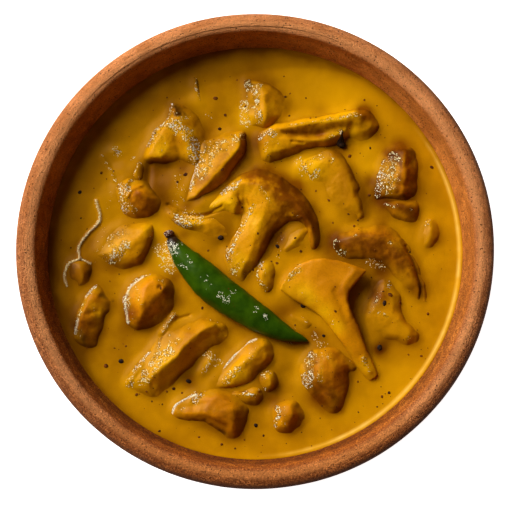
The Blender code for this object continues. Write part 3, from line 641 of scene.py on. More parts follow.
FORMS = {
    "sliver_top": dict(
        rim=[(-21.8, 65.2, 0.4), (-20.6, 62.5, 0.5), (-19.4, 58, 0.4), (-18.2, 55, 0.2), (-17.4, 51, 0),
             (-19.4, 52.6, 0.3), (-20.8, 57, 0.6), (-23, 60.6, 0.5), (-22.6, 63, 0.5)],
        chains=[[(-21.8, 64, 1.6), (-21.6, 60.6, 2.0), (-20, 57.6, 1.8), (-18.8, 53, 1.0)]],
        brown=[([(-21.4, 65), (-20.9, 61), (-19.6, 57)], 1.3, 0.7)],
        char=[([(-21.5, 64.8), (-20.9, 61)], 0.9, 0.9)],
        glint=[([(-22.6, 61), (-20, 58), (-19.2, 55.6)], 0.8, 1.0), ([(-22, 64), (-21, 62)], 1.0, 0.5),
               ([(-18.8, 54), (-17.6, 51)], 0.6, 0.5)]),
    "flat_top": dict(
        flank=0.6, sunk=0.9,
        rim=[(-29.4, 56, -0.8), (-28.6, 58, -0.8), (-25, 59.4, -0.8), (-21, 58.4, -0.8), (-18, 55, -0.8),
             (-16.4, 50.6, -0.8), (-20, 52, -0.2), (-25, 54, 0.2)],
        chains=[[(-27, 56.2, 0.7), (-22, 54.6, 0.9)]],
        glint=[([(-18.6, 52), (-16.4, 50)], 0.7, 0.5)]),
    "chunk_top": dict(
        rim=[(-4.6, 62.5, 0.8), (-3.8, 58, 0.5), (-4.2, 53, 0.3), (-5, 49, 0), (-3, 46.4, 0),
             (3, 45.6, 0), (8, 46.4, 0), (11, 50, 0), (13.4, 53.4, 0.3), (11.6, 57, 0.6),
             (8.6, 60.4, 0.6), (4.4, 62.6, 1.0), (0, 63.8, 1.0), (-3.4, 64, 0.8)],
        chains=[[(-2.8, 62.4, 2.8), (1, 61.4, 3.8), (3, 56, 4.8), (3, 50, 4.4), (2.2, 47.2, 2.4)],
                [(5.6, 60.4, 2.8), (8.6, 56, 2.0), (8.4, 50.6, 1.2)]],
        brown=[([(7, 60.6), (9.6, 56)], 3.6, 0.8), ([(-3.4, 60), (-2.4, 63)], 3.0, 0.8),
               ([(4, 57), (4.4, 50)], 1.4, 0.5)],
        char=[([(-3.6, 63.2), (-2.2, 61.4)], 2.4, 0.95), ([(0.4, 63), (4, 62.4)], 0.6, 0.4)],
        glint=[([(-3.6, 62.6), (-1.6, 60.6), (1, 61)], 1.5, 0.8),
               ([(0, 59), (0.6, 53), (1.2, 49)], 1.6, 1.0), ([(-3, 56), (-3.4, 49)], 1.6, 0.6)]),
    "fold_north": dict(
        rim=[(-30.2, 55.6, 1.0), (-27, 54.6, 1.5), (-23, 52.4, 1.0), (-19, 48, 0.6), (-17, 43.4, 0.5),
             (-17.2, 38, 0.6), (-18.6, 33, 0.8), (-21, 31.8, 0.8), (-24.6, 32.8, 0.6), (-27, 33.6, 0.4),
             (-31, 33, 0), (-35, 33, 0), (-39.4, 33.8, 0), (-40.6, 36.4, 0.6), (-38.8, 40.6, 1.0),
             (-36.8, 45, 1.2), (-33, 48.2, 1.3), (-31.6, 51.4, 1.0)],
        chains=[[(-29.2, 54.2, 4.2), (-28.4, 50, 5.0), (-25.6, 45, 5.6), (-23, 39, 5.2), (-21, 34, 3.8)],
                [(-24.6, 51, 2.6), (-21, 46.6, 1.8), (-20, 40, 1.8)],
                [(-31.4, 46.6, 4.0), (-34.4, 42.4, 4.4), (-37, 38.4, 4.0), (-38.2, 35.6, 3.6),
                 (-34, 35, 4.6), (-31.8, 37.2, 3.9), (-30.8, 42, 3.9)],
                [(-29.6, 45.4, 3.8), (-28.4, 41, 2.6), (-27, 36.4, 1.6)]],
        brown=[([(-24.2, 52), (-20, 46), (-18.6, 38)], 2.4, 0.8), ([(-28, 54), (-23.4, 51.4)], 2.0, 1.0),
               ([(-28.6, 43), (-27.4, 36)], 1.6, 0.75), ([(-37, 34), (-31, 33.6)], 0.9, 0.8)],
        char=[([(-29.4, 54.4), (-27.4, 51.8)], 2.5, 1.0), ([(-26.6, 52.4), (-25.4, 51)], 1.6, 0.75)],
        glint=[([(-30, 55.4), (-31.4, 51), (-33, 47.5), (-36.6, 44.6), (-38.4, 40)], 1.1, 1.0),
               ([(-30, 51), (-27, 48.6), (-25, 49.6)], 1.6, 0.6),
               ([(-31, 47.4), (-27, 45.6), (-23.4, 42.6), (-21.8, 34)], 2.2, 1.0),
               ([(-23, 36.4), (-21.8, 33.6)], 1.9, 1.0), ([(-36, 43), (-33.6, 38.6)], 2.2, 0.6)]),
    "slice_long": dict(
        rim=[(-4.2, 44.8, 1.0), (-3.2, 42, 0.4), (-4, 37, 0), (-9, 29.4, 0), (-14, 23.6, 0),
             (-18, 20.6, 0), (-22, 18.6, 0.3), (-24.6, 17.6, 0.6), (-26.2, 20, 0.9), (-25.4, 23.4, 1.0),
             (-22.8, 28.4, 1.2), (-21.8, 32, 1.4), (-21.8, 36.4, 1.6), (-19.6, 40.6, 1.8),
             (-17, 42, 1.2), (-12, 43.6, 0.8), (-8, 44.6, 0.8)],
        chains=[[(-4.8, 42.8, 4.4), (-6.6, 38.4, 5.6), (-10.6, 32.8, 6.2), (-15, 27.6, 6.0),
                 (-19.4, 23, 5.0), (-23.4, 20.2, 3.2)],
                [(-10, 41.4, 3.2), (-15, 37, 3.8), (-18.8, 32, 3.8), (-21.4, 27.4, 2.8)],
                [(-5, 37.6, 3.0), (-9.8, 30.6, 3.4), (-15.4, 24.2, 3.4), (-20.4, 20.6, 2.4)]],
        lines=[([(-25.2, 21.6), (-25.6, 19.6), (-24.2, 17.8)], -0.8, 0.6),
               ([(-14, 40.6), (-18, 35)], -0.3, 0.8)],
        brown=[([(-4.4, 38), (-9.6, 29.6), (-15.4, 22.6), (-21, 19.2)], 2.6, 0.95),
               ([(-18.4, 40.4), (-17.6, 37.6)], 1.3, 0.9),
               ([(-6.6, 40.6), (-11.4, 34.6), (-15.6, 29), (-20.4, 25)], 2.2, 0.8)],
        char=[([(-18.8, 40.6), (-18, 38.6)], 1.2, 0.9),
              ([(-25.4, 21.2), (-25.4, 19.2), (-24.2, 17.8)], 0.45, 0.9)],
        highlight_line=[([(-21.6, 33), (-22.4, 28.6), (-24.2, 24.4)], 0.34, 0.6)],
        glint=[([(-21.8, 36.8), (-21.4, 31), (-23.4, 25), (-25.2, 22)], 1.2, 1.0),
               ([(-19.6, 36), (-20.4, 33)], 2.4, 0.9),
               ([(-6, 42.6), (-11, 40), (-16, 35.6), (-19.4, 29)], 2.2, 0.75),
               ([(-15, 40), (-18, 33)], 2.6, 0.6), ([(-18.6, 40.6), (-17.8, 38)], 1.2, 0.5)]),
    "chunk_west": dict(
        rim=[(-50.8, 25.6, 0.5), (-47, 27.8, 0.8), (-44, 28, 1.0), (-40, 27, 0.8), (-37, 24.8, 0.6),
             (-34, 21.4, 0.4), (-32.6, 18, 0), (-36, 14.6, 0), (-41, 12.6, 0), (-45.6, 13.6, 0),
             (-48, 16.4, 0.3), (-49.8, 20, 0.4)],
        chains=[[(-45.4, 27, 3.4), (-46, 22, 4.6), (-45.6, 17, 3.2)],
                [(-44.6, 24, 3.0), (-41, 25, 3.0)],
                [(-43, 21.6, 5.0), (-40, 22.4, 5.0), (-38, 20.4, 4.4)],
                [(-42.6, 17, 4.2), (-39.4, 16.6, 4.0)]],
        lines=[([(-45.6, 20.6), (-44, 23.4), (-40.6, 25)], 0.5, 0.5)],
        brown=[([(-42, 20), (-37, 18.4)], 4.6, 0.95), ([(-40, 14.4), (-45, 14.6)], 1.6, 0.7)],
        char=[([(-35, 23.4), (-34, 20.6)], 0.7, 0.6), ([(-45, 14), (-41, 13), (-36, 15)], 0.7, 0.4)],
        glint=[([(-49.4, 24.6), (-46.8, 24), (-47, 19), (-47.2, 16.6)], 2.0, 1.0),
               ([(-45.6, 19), (-43, 16)], 1.0, 0.6), ([(-45, 26.6), (-43, 27.6)], 0.8, 0.8)]),
    "bit_west": dict(
        rim=[(-45, 28, 0.6), (-44.2, 31.4, 0.6), (-42.2, 34.6, 0.6), (-40.6, 33.4, 0.6),
             (-39.4, 29.6, 0.4), (-39.8, 26.6, 0.4), (-42.6, 26.4, 0.6)],
        chains=[[(-42.4, 33.4, 2.0), (-43.4, 29.4, 2.8), (-41.6, 28, 2.4)]],
        brown=[([(-40.4, 33), (-39.6, 27)], 1.0, 0.8)],
        glint=[([(-44.8, 28), (-43.4, 31.6), (-41.6, 33.8)], 0.9, 0.8),
               ([(-42, 27), (-40.4, 29)], 1.0, 0.4)]),
    "sunk_west": dict(
        flank=0.6, sunk=0.9,
        rim=[(-58, 38, -0.9), (-55, 41, -0.9), (-49, 41.6, -0.9), (-43, 40, -0.9), (-41.6, 36, -0.9),
             (-45, 33.4, -0.9), (-50, 33.4, -0.9), (-55.6, 35, -0.9)],
        chains=[[(-54, 37.8, 0.4), (-50, 37.6, 1.2), (-46, 37, 0.5)]],
        glint=[([(-50.5, 38.6), (-49, 36.4)], 1.3, 1.0), ([(-44.4, 35), (-43.6, 35.6)], 0.5, 0.8)]),
    "slab_west": dict(
        rim=[(-60, 2, -1.1), (-59.6, 7, -1.1), (-56, 11.4, -1.1), (-50, 13.4, -0.8), (-44, 13.2, -0.3),
             (-39.4, 12.2, 0.6), (-36.4, 10.4, 1.4), (-36.6, 5, 0.5), (-38.4, -0.4, 0), (-41.6, -3.6, 0),
             (-46, -5, 0), (-51, -4.4, 0), (-54.8, -2.6, -0.4), (-58.4, -1.4, -0.9)],
        chains=[[(-55.4, 0.2, 1.2), (-51.4, -0.2, 2.8), (-47.6, 1.8, 4.0), (-42.6, 5.2, 4.5),
                 (-39.6, 8.6, 4.2)],
                [(-54, 7.4, 0.6), (-49, 9, 1.5), (-43.6, 9.8, 2.9)],
                [(-50, -2.8, 1.6), (-43.4, -1.6, 2.9), (-39.8, 2.2, 3.3), (-38, 6.8, 3.4)]],
        brown=[([(-51.6, -4), (-45, -3.2), (-40, 0.4), (-37.2, 4)], 2.4, 0.95),
               ([(-58, 5), (-51, 9), (-45, 10)], 3.0, 0.8)],
        glint=[([(-52, -1.2), (-48.6, 1.2), (-46.4, 3.6)], 2.2, 1.0),
               ([(-57, 5), (-53, 9), (-47, 12)], 2.8, 0.62), ([(-52, 6), (-48, 8)], 2.6, 0.6),
               ([(-37.4, 8.6), (-36.8, 5)], 0.8, 0.5)]),
    "cap_small": dict(
        rim=[(-66.6, -2, 0.3), (-63, -0.6, 0.6), (-60, -1.4, 0.6), (-58, -4, 0.4), (-57.6, -8, 0.2),
             (-59.4, -12, 0), (-63.4, -13, 0), (-66.6, -10.6, 0), (-67.4, -6, 0.2)],
        chains=[[(-63.6, -3, 2.2), (-61.8, -5, 3.0), (-61, -8, 2.6), (-62.4, -10.6, 1.4)]],
        brown=[([(-65.6, -4), (-65, -9), (-61.4, -11.4)], 2.4, 1.0), ([(-59, -3), (-59, -9)], 1.6, 0.95)],
        char=[([(-61.4, -10), (-60, -11.4)], 1.4, 0.4)],
        glint=[([(-63.4, -3.6), (-61.6, -7)], 0.9, 0.35)]),
    "arch_small": dict(
        rim=[(-56.6, -10, 0.8), (-60, -13.6, 1.0), (-62.4, -19, 1.1), (-64.2, -24.6, 1.1),
             (-64.6, -28.4, 0.8), (-63.6, -31.6, 0.3), (-60, -33.8, 0), (-56.2, -32.2, 0),
             (-53.6, -27, 0), (-52.4, -21.6, 0), (-50, -18.6, 0), (-49.4, -15.4, 0.2), (-53, -12.4, 0.5)],
        chains=[[(-57.6, -12.4, 3.0), (-60, -17.6, 4.3), (-61.6, -23, 4.5), (-61.4, -28.6, 3.6)],
                [(-55.8, -15, 3.4), (-56.4, -19.6, 3.2), (-57, -26, 2.6)],
                [(-53.8, -14.4, 0.8), (-51.4, -16, 0.5)]],
        lines=[([(-60, -21), (-56, -20)], -0.4, 1.0)],
        brown=[([(-60.4, -32), (-59.4, -26), (-57, -22)], 4.4, 1.0),
               ([(-55, -13.6), (-51, -17)], 1.6, 0.95), ([(-55, -20), (-55, -27)], 2.2, 0.45)],
        char=[([(-62.4, -27), (-60.6, -31.6)], 2.2, 0.8), ([(-54.4, -13.8), (-51, -15.8)], 1.3, 0.75)],
        highlight_line=[([(-57.2, -10.8), (-60.2, -14.6)], 0.34, 0.6),
                ([(-62.8, -22.6), (-63.8, -27)], 0.34, 0.7)],
        glint=[([(-57.2, -10.8), (-60.2, -14.6)], 0.9, 1.0),
               ([(-60.2, -14.6), (-61.6, -18.6)], 1.1, 0.6),
               ([(-61.6, -20), (-63, -22.6), (-64, -27)], 0.9, 1.0),
               ([(-60, -15), (-57, -19)], 1.4, 0.4), ([(-62.4, -27), (-60.6, -30.4)], 1.4, 0.35)]),
    "button_west": dict(
        rim=[(-38, -6, 0.9), (-42, -7.4, 1.4), (-45.4, -11.4, 1.6), (-47, -16, 1.6), (-46.4, -20, 1.5),
             (-45.4, -24.8, 0.8), (-41, -26.4, 0.2), (-36, -25.4, 0), (-31, -23.6, 0), (-28.6, -18, 0),
             (-28, -12, 0), (-30, -7.6, 0.2), (-33.4, -6.4, 0.6)],
        chains=[[(-36.2, -8, 4.6), (-38.8, -12, 6.0), (-39.6, -17, 6.8), (-41, -22, 5.4)],
                [(-34.8, -9.2, 4.8), (-32.8, -11, 5.0), (-33.6, -14, 5.2), (-36.4, -16.6, 5.9)],
                [(-30.6, -13, 2.2), (-32.4, -19.6, 2.2), (-37.6, -23.6, 2.0)],
                [(-41.4, -9.6, 3.0), (-43.8, -14, 3.2), (-44, -20, 3.0)]],
        spots=[(-33.8, -11.4, -0.7, 0.8)],
        brown=[([(-31, -9), (-31, -16), (-34, -22), (-40, -25)], 3.0, 1.0),
               ([(-35.4, -15), (-38.6, -20.6)], 1.6, 0.7), ([(-43, -19), (-42, -23)], 1.6, 0.5)],
        char=[([(-33.6, -10.8), (-33.6, -12)], 0.7, 0.9), ([(-44.6, -24.4), (-40, -25.8)], 0.8, 0.4)],
        highlight_line=[([(-40, -7.4), (-44.6, -11.4), (-46.2, -16), (-45.8, -20), (-45.2, -24)], 0.34, 0.75)],
        glint=[([(-38, -6.6), (-42, -8), (-45, -11.8), (-46.4, -16), (-46, -20), (-45.4, -24)], 0.75, 1.0),
               ([(-45.6, -14), (-45.2, -20)], 1.0, 0.8), ([(-42, -11), (-41, -17)], 1.5, 0.45),
               ([(-36, -8.4), (-33, -9), (-32.4, -11)], 0.5, 0.6),
               ([(-43.6, -20), (-43, -22)], 1.0, 0.5)]),
    "slab_long": dict(
        rim=[(-17.4, -21.8, 1.0), (-22.4, -23.2, 1.0), (-26.4, -25.6, 0.8), (-29, -24.4, 0.8),
             (-33.4, -28, 1.0), (-36.8, -32.8, 1.2), (-41.4, -38, 1.3), (-46.2, -45.4, 1.0),
             (-44.2, -47.4, 0.3), (-39.6, -49.6, 0), (-35, -50.8, 0), (-30, -46.6, 0), (-24, -40.6, 0),
             (-17, -34.6, 0), (-11, -31, 0), (-9.4, -27, 0.4), (-12, -23.4, 0.9)],
        chains=[[(-14, -24.4, 4.0), (-18.4, -26.4, 5.6), (-23, -30.4, 6.5), (-29, -36, 6.8),
                 (-34.4, -41.6, 5.6), (-37.8, -45.4, 3.8)],
                [(-25, -27.8, 3.4), (-31.4, -32.8, 3.5), (-37.2, -38.8, 3.1), (-42.4, -44.6, 2.2)],
                [(-13.4, -29, 1.8), (-21, -35, 2.2), (-28, -41.6, 2.0), (-34, -47.2, 1.4)]],
        lines=[([(-18.4, -22.6), (-12.6, -23.8)], -0.5, 0.5), ([(-14, -24.8), (-11, -27.8)], -0.5, 0.5),
               ([(-40, -38), (-44.8, -45)], 0.4, 0.8)],
        brown=[([(-12, -29.4), (-21, -36), (-28.4, -42.6), (-35.6, -49)], 2.7, 1.0),
               ([(-10.6, -25), (-11, -29)], 1.4, 0.8),
               ([(-19, -28.6), (-25, -34), (-31, -40)], 1.2, 0.5), ([(-40, -45.6), (-37, -48)], 2, 0.5)],
        glint=[([(-27.6, -25), (-31, -28)], 0.8, 0.6), ([(-34, -29), (-35, -34.6)], 1.1, 0.9),
               ([(-38, -34), (-41.5, -38.5), (-45, -45.4)], 1.3, 1.0),
               ([(-31, -34.6), (-35, -37), (-38, -43)], 2.4, 0.85),
               ([(-27, -30), (-31, -33)], 1.6, 0.55), ([(-22, -24), (-26, -28)], 1.0, 0.4),
               ([(-36, -42), (-40, -44.6)], 1.8, 0.6), ([(-17.6, -22.4), (-13, -23.6)], 0.5, 0.5)]),
    "fold_south": dict(
        rim=[(-17.8, -45.2, 0.8), (-14.6, -42.2, 1.2), (-12, -40, 1.5), (-9, -36.8, 1.8),
             (-4, -31.6, 2.0), (0, -29.4, 1.4), (4, -29.2, 0.8), (6.8, -32.4, 0.3), (7.4, -36.4, 0),
             (4.4, -40.4, 0), (1, -43.2, 0.6), (-3, -45.2, 2.2), (-9, -46.6, 2.2), (-14, -46.6, 1.4)],
        chains=[[(2.8, -32.2, 4.2), (-2.6, -36, 5.3), (-6.6, -40, 4.8), (-10.4, -43.8, 3.0)],
                [(-14, -43.8, 0.8), (-9.4, -39.4, 1.2), (-4.8, -34.4, 1.8)],
                [(4, -36.4, 3.4), (-1, -41.4, 3.6)]],
        brown=[([(5.8, -35), (2, -40.6), (-3, -43.8)], 2.2, 1.0),
               ([(-14, -43.4), (-9, -38.8), (-4.6, -34)], 0.8, 0.6), ([(-6, -43), (-10, -45)], 1.2, 0.4)],
        char=[([(0, -41.4), (4, -38.6)], 1.3, 0.5)],
        highlight_line=[([(-17, -44.4), (-12, -40), (-9, -37), (-4, -31.6), (0, -29.6)], 0.36, 0.85)],
        glint=[([(-17, -44.4), (-12, -40), (-9, -37), (-4, -31.6), (0, -29.6)], 0.45, 1.0),
               ([(-10.6, -44), (-6.6, -40.6)], 1.4, 0.8), ([(-3, -37.6), (1, -33)], 1.6, 0.4)]),
    "nub_south": dict(
        rim=[(0.2, -43, 0.4), (2, -40.4, 0.6), (5.4, -40.2, 0.6), (8, -42.6, 0.2), (7.8, -46, 0),
             (5, -49, 0.2), (2, -48.4, 0.5), (0.2, -45.8, 0.5)],
        chains=[[(2.6, -43, 3.4), (4.8, -43.4, 3.9), (5, -46, 3.2)]],
        brown=[([(6.6, -41.6), (7, -46)], 1.2, 0.8), ([(4.4, -44), (5.2, -46)], 0.8, 0.4)],
        glint=[([(2.2, -42.2), (2.6, -43.6)], 0.8, 1.0), ([(3.2, -47.2), (3.4, -48.2)], 0.6, 0.9),
               ([(4, -41), (5, -42)], 0.7, 0.5)]),
    "lip_south": dict(
        rim=[(-11.6, -49.4, 0.3), (-9, -47.6, 0.6), (-4, -47, 0.8), (-1.4, -45.2, 0.8),
             (1.4, -46.2, 1.0), (3.4, -49, 0.5), (2.4, -52.2, 0), (-2, -53.8, 0), (-7, -52.8, 0),
             (-10.8, -51.6, 0)],
        chains=[[(-9, -49.6, 2.0), (-4, -49, 3.4), (0, -48, 3.6), (0.8, -50, 2.8)]],
        lines=[([(-9.6, -48.4), (-4, -48), (1.4, -48.6)], -0.4, 0.5)],
        brown=[([(-10, -48.6), (-3, -48)], 0.7, 0.9), ([(-6, -52.4), (2, -51.8)], 1.2, 1.0),
               ([(0, -45.8), (2.4, -48.4)], 0.6, 0.6)],
        glint=[([(-4, -48.6), (-0.6, -49.6)], 0.9, 1.0), ([(-1, -45.4), (1.4, -47.4)], 0.5, 0.8),
               ([(-9, -50), (-6, -49.6)], 0.8, 0.5)]),
    "wedge_south": dict(
        rim=[(-30.2, -55.6, 0.9), (-28.6, -52.6, 1.2), (-25, -50.2, 1.2), (-20, -48, 1.2),
             (-15, -46.6, 1.0), (-10, -47.4, 0.8), (-5, -49.6, 0.5), (-2.4, -53, 0.2), (-3, -58, 0),
             (-4.8, -63, 0), (-8.4, -65.8, 0), (-12.4, -63.4, 0), (-17, -60.6, 0), (-22, -58.8, 0),
             (-27.6, -57.8, 0.3)],
        chains=[[(-27.8, -55.8, 1.9), (-22, -55.8, 3.5), (-16, -56.2, 4.7), (-10.8, -57.8, 5.2),
                 (-8.4, -60.4, 4.4)],
                [(-12.6, -50.6, 4.0), (-8.6, -53.2, 4.7), (-7.6, -57, 4.7)],
                [(-22, -51.8, 2.6), (-16.6, -50.6, 3.4)]],
        lines=[([(-26, -53.6), (-18, -52.6)], -0.3, 1.2)],
        brown=[([(-27, -57.6), (-19, -58.4), (-11.6, -62.2)], 1.3, 1.0),
               ([(-5, -53.4), (-5.4, -62)], 2.0, 0.95), ([(-12, -49), (-9, -51)], 1.4, 0.5),
               ([(-16, -57.4), (-10, -60)], 1.0, 0.5), ([(-27, -54.6), (-18, -54), (-9, -56)], 3.6, 0.5)],
        char=[([(-27.6, -57.6), (-20, -58.6)], 0.45, 0.5), ([(-13, -61.6), (-10.6, -63)], 0.7, 0.8)],
        highlight_line=[([(-29.6, -55.8), (-28.2, -52.8), (-25, -50.6), (-21, -49.2)], 0.38, 0.9)],
        glint=[([(-29.8, -55.6), (-28.2, -52.8), (-25, -50.6), (-21, -48.6)], 0.55, 1.0),
               ([(-21, -48.6), (-17, -47.4)], 0.8, 0.8), ([(-22, -51.4), (-19.4, -49.4)], 1.1, 1.0),
               ([(-27, -55), (-24, -53)], 0.9, 0.5), ([(-20, -54), (-12, -55)], 1.6, 0.3)]),
    "chunk_south": dict(
        rim=[(6.2, -54, 0.9), (8, -52.4, 0.9), (12, -50.8, 0.8), (15.6, -51.8, 0.3), (18.2, -55.6, 0),
             (17.6, -59.2, 0), (13, -63, 0), (8, -63.2, 0), (5.8, -60.8, 0.4), (5.8, -57, 0.8)],
        chains=[[(8.4, -54.6, 3.4), (9.6, -57.4, 4.6), (8.4, -60.2, 3.0)],
                [(12.2, -53, 4.4), (12.8, -56.6, 4.9), (11, -60, 3.6)],
                [(15.6, -55.4, 2.0), (14.2, -60, 1.6)]],
        brown=[([(14.6, -53), (15.8, -56.4), (13, -60.8), (8.6, -62)], 1.9, 1.0),
               ([(12.6, -58), (10.6, -60.6)], 1.2, 0.5), ([(9, -54), (11.4, -59)], 4.0, 0.45)],
        glint=[([(7.2, -53.6), (8, -56), (6.8, -60)], 0.8, 1.0), ([(9.6, -54), (9.6, -59)], 1.4, 0.4)]),
    "flat_north": dict(
        rim=[(12, 32.6, -0.7), (15.6, 36.4, -0.3), (20, 37.6, 0.4), (26.6, 38.2, 1.3), (31.2, 36.4, 0.6),
             (35.6, 28.4, 0.3), (38.8, 20, 0.3), (39.4, 14, 0.2), (36.6, 10.4, -0.5), (31, 10.2, -0.9),
             (25.6, 13, -0.9), (20, 21, -0.9), (15.6, 27.6, -0.8)],
        chains=[[(27.8, 36.2, 2.6), (30.6, 33, 3.2), (33.4, 27, 3.4), (36, 19.6, 3.0), (37.2, 14, 1.8)],
                [(17.4, 34, 2.2), (20.4, 30.4, 2.9), (24.6, 34.8, 2.8)],
                [(26, 27, 1.9), (29, 19, 1.6)]],
        brown=[([(31.6, 35.6), (35.4, 27.4), (38, 19), (38.6, 13.4)], 1.5, 1.0),
               ([(30, 37), (34, 31)], 1.0, 0.4)],
        glint=[([(15.6, 34), (17, 30.6), (20, 27.8), (22.6, 31)], 1.2, 0.8),
               ([(19, 33), (24, 36), (27, 35)], 1.5, 0.5)]),
    "chunk_east": dict(
        rim=[(45.4, 35.6, 0.8), (49, 37.8, 1.4), (53, 39.2, 2.0), (56.8, 38.4, 0.8), (58.6, 34, 0),
             (58, 28, 0), (58, 22, 0), (55.4, 19.8, 0.4), (50, 20.4, 1.6), (45, 20, 0.9),
             (42, 20.8, 0.5), (41.6, 24, 0.6), (43, 29, 0.7), (44.6, 33, 0.8)],
        chains=[[(52.8, 37.6, 4.4), (53, 33, 5.6), (52.6, 27, 5.6), (52.2, 21.8, 4.6)],
                [(49, 35.4, 3.4), (48, 29, 3.6), (47.4, 23, 3.0)],
                [(55.6, 36, 2.2), (56, 29, 2.4), (55.6, 22.6, 1.8)]],
        lines=[([(46, 24), (49.6, 25.4), (52, 24.6)], -0.3, 0.9)],
        brown=[([(55.8, 37.4), (56.2, 30), (55.8, 21.6)], 2.4, 1.0),
               ([(51, 36), (51.6, 29), (50, 22.6)], 1.5, 0.75), ([(43, 21), (48, 20.8)], 0.8, 0.8),
               ([(47, 36.6), (53, 38), (57, 36)], 2.4, 1.0),
               ([(42.6, 20.8), (50, 21), (57.4, 21)], 1.0, 1.0)],
        char=[([(42.6, 20), (45, 19.8)], 0.7, 0.9), ([(57, 36), (57.2, 28)], 0.8, 0.3),
              ([(48, 35.6), (47, 29), (45.4, 23.6)], 3.4, 0.5)],
        glint=[([(45.6, 34), (45, 29), (43.4, 23)], 1.6, 1.0),
               ([(49, 35.6), (47.6, 29), (47, 24)], 2.2, 0.85), ([(51.4, 34), (50.6, 27)], 1.1, 0.4)]),
    "bit_east": dict(
        rim=[(43.6, 19.6, 0.6), (45.2, 16.6, 0.4), (48.4, 13.8, 0.2), (54, 11.4, 0), (58, 12.6, 0),
             (59, 17, 0.2), (57.2, 20, 0.4), (50, 20.2, 0.9)],
        chains=[[(46.6, 18.2, 2.4), (49.8, 17.6, 3.6), (54.6, 17.2, 3.8), (56.6, 16, 2.8)],
                [(50, 15, 2.2), (54, 13.8, 2.2)]],
        brown=[([(52, 18), (56.4, 15)], 3.4, 1.0), ([(46, 16.4), (50, 13.8), (55, 12.4)], 1.3, 0.9)],
        char=[([(44.4, 18.4), (47, 15.8)], 0.6, 0.7), ([(52, 12.4), (57, 13)], 0.7, 0.3)],
        glint=[([(46.6, 18.2), (49.6, 17.6)], 1.1, 0.9), ([(55.4, 16.6), (56.4, 16.2)], 0.6, 0.9)]),
    "lump_east": dict(
        rim=[(43.6, -8.4, 0.3), (47.6, -7.8, 0.4), (50.6, -11, 0.2), (51.8, -16, 0.2),
             (52.4, -20.4, 0.2), (54.8, -24, 0.2), (57.8, -27, 0.2), (58, -30.4, 0), (54, -32.8, -0.3),
             (48, -31.6, -0.7), (42, -30.8, -0.9), (38.4, -27, -0.8), (37.8, -22, -0.3),
             (39.8, -16, 0.3)],
        chains=[[(46, -10.4, 2.6), (44, -14.6, 3.2), (41.4, -20, 2.6)],
                [(48.6, -14, 2.6), (47.8, -20, 3.2), (50.8, -24, 3.3), (54.4, -27, 3.0),
                 (53.6, -30, 2.2)],
                [(42, -25, 2.0), (47, -27.6, 2.2)]],
        brown=[([(46.4, -9), (42.6, -14)], 2.6, 0.6),
               ([(51.6, -19), (54.2, -23.2), (57, -26.6), (57.2, -30)], 0.8, 0.95),
               ([(53.6, -31.8), (45, -30.8)], 1.0, 0.5)],
        glint=[([(46, -9.4), (47.4, -10.6)], 1.2, 0.9),
               ([(44, -13), (42.6, -16.6), (40.4, -19.6)], 1.1, 0.8),
               ([(45.6, -21), (46.6, -22)], 0.8, 0.7), ([(43, -21), (44.4, -20.6)], 0.7, 0.5),
               ([(53.4, -29.6), (54.4, -29)], 0.6, 0.8)]),
    "bit_far_east": dict(
        rim=[(58.6, 4.6, 0.2), (59.2, 10, 0.4), (61, 13.4, 0.5), (63.2, 13.6, 0.3), (65.4, 12, 0),
             (65.6, 7, 0), (63.6, 2.8, 0), (60.4, 2, 0.1)],
        chains=[[(61.6, 12.2, 1.8), (62.2, 8, 2.4), (61, 4.2, 1.5)]],
        brown=[([(65, 12), (64.4, 6.6), (62.6, 3)], 0.8, 0.8)],
        glint=[([(61.4, 13), (60.8, 8.6)], 0.9, 0.75), ([(60.4, 7), (59.4, 4.4)], 0.9, 0.6)]),
    "bit_centre": dict(
        rim=[(-0.4, -2.6, 0.4), (3, -1.2, 0.5), (6, -1.8, 0.4), (8, -6, 0), (7.8, -10, 0), (6, -13.4, 0),
             (3, -13.6, 0.3), (0.8, -10.6, 0.5), (-1, -6.6, 0.5)],
        chains=[[(1.8, -4, 2.4), (2.2, -8, 2.8), (4.4, -11.4, 2.0)], [(5, -4.6, 2.2), (5.8, -9, 1.6)]],
        brown=[([(7, -7), (6.6, -10)], 1.3, 0.6), ([(4, -12.6), (6, -12)], 0.8, 0.6)],
        glint=[([(2, -2.6), (0.2, -5), (0.6, -8.6)], 1.0, 1.0), ([(1.6, -9.6), (3.6, -11.8)], 0.9, 0.8),
               ([(2.6, -7), (3.6, -5)], 1.0, 0.4)]),
    "lump_centre": dict(
        rim=[(7.4, 1, -0.7), (9, 5, -0.6), (12, 10.8, -0.2), (16, 12.6, 0.2), (20, 10.6, 0.1),
             (20.8, 6, -0.4), (18, 1.8, -0.7), (13, -0.2, -0.7), (9, -0.8, -0.7)],
        chains=[[(10.6, 3, 1.8), (14, 6, 2.4), (18, 9, 1.8)]],
        brown=[([(8, 3), (10.6, 8)], 1.0, 0.5)],
        glint=[([(14, 10.6), (11.6, 6)], 0.8, 0.3)]),
    "slab_centre": dict(
        rim=[(-33, 17.6, 0.3), (-29, 17, 0.8), (-25.4, 14.8, 0.8), (-20, 13.8, 1.0), (-14.6, 14.8, 1.0),
             (-10, 12.6, 0.5), (-6.4, 8, -0.5), (-6, 4.4, -0.8), (-10, 2, -0.9), (-15, 3.2, -0.9),
             (-20, 5.8, -0.9), (-26, 8.8, -0.8), (-31, 12.4, -0.4)],
        chains=[[(-31.6, 14.8, 1.6), (-27, 11.6, 3.0), (-22, 10.4, 3.4), (-16, 12, 2.8), (-11, 9.8, 1.6)],
                [(-15, 7.4, 1.6), (-10, 5.6, 1.2)]],
        brown=[([(-14, 10), (-9, 8)], 2.4, 0.7), ([(-18, 6.6), (-10, 4)], 2.0, 0.45)],
        char=[([(-10.6, 12.6), (-8.6, 12.2)], 0.8, 0.35)],
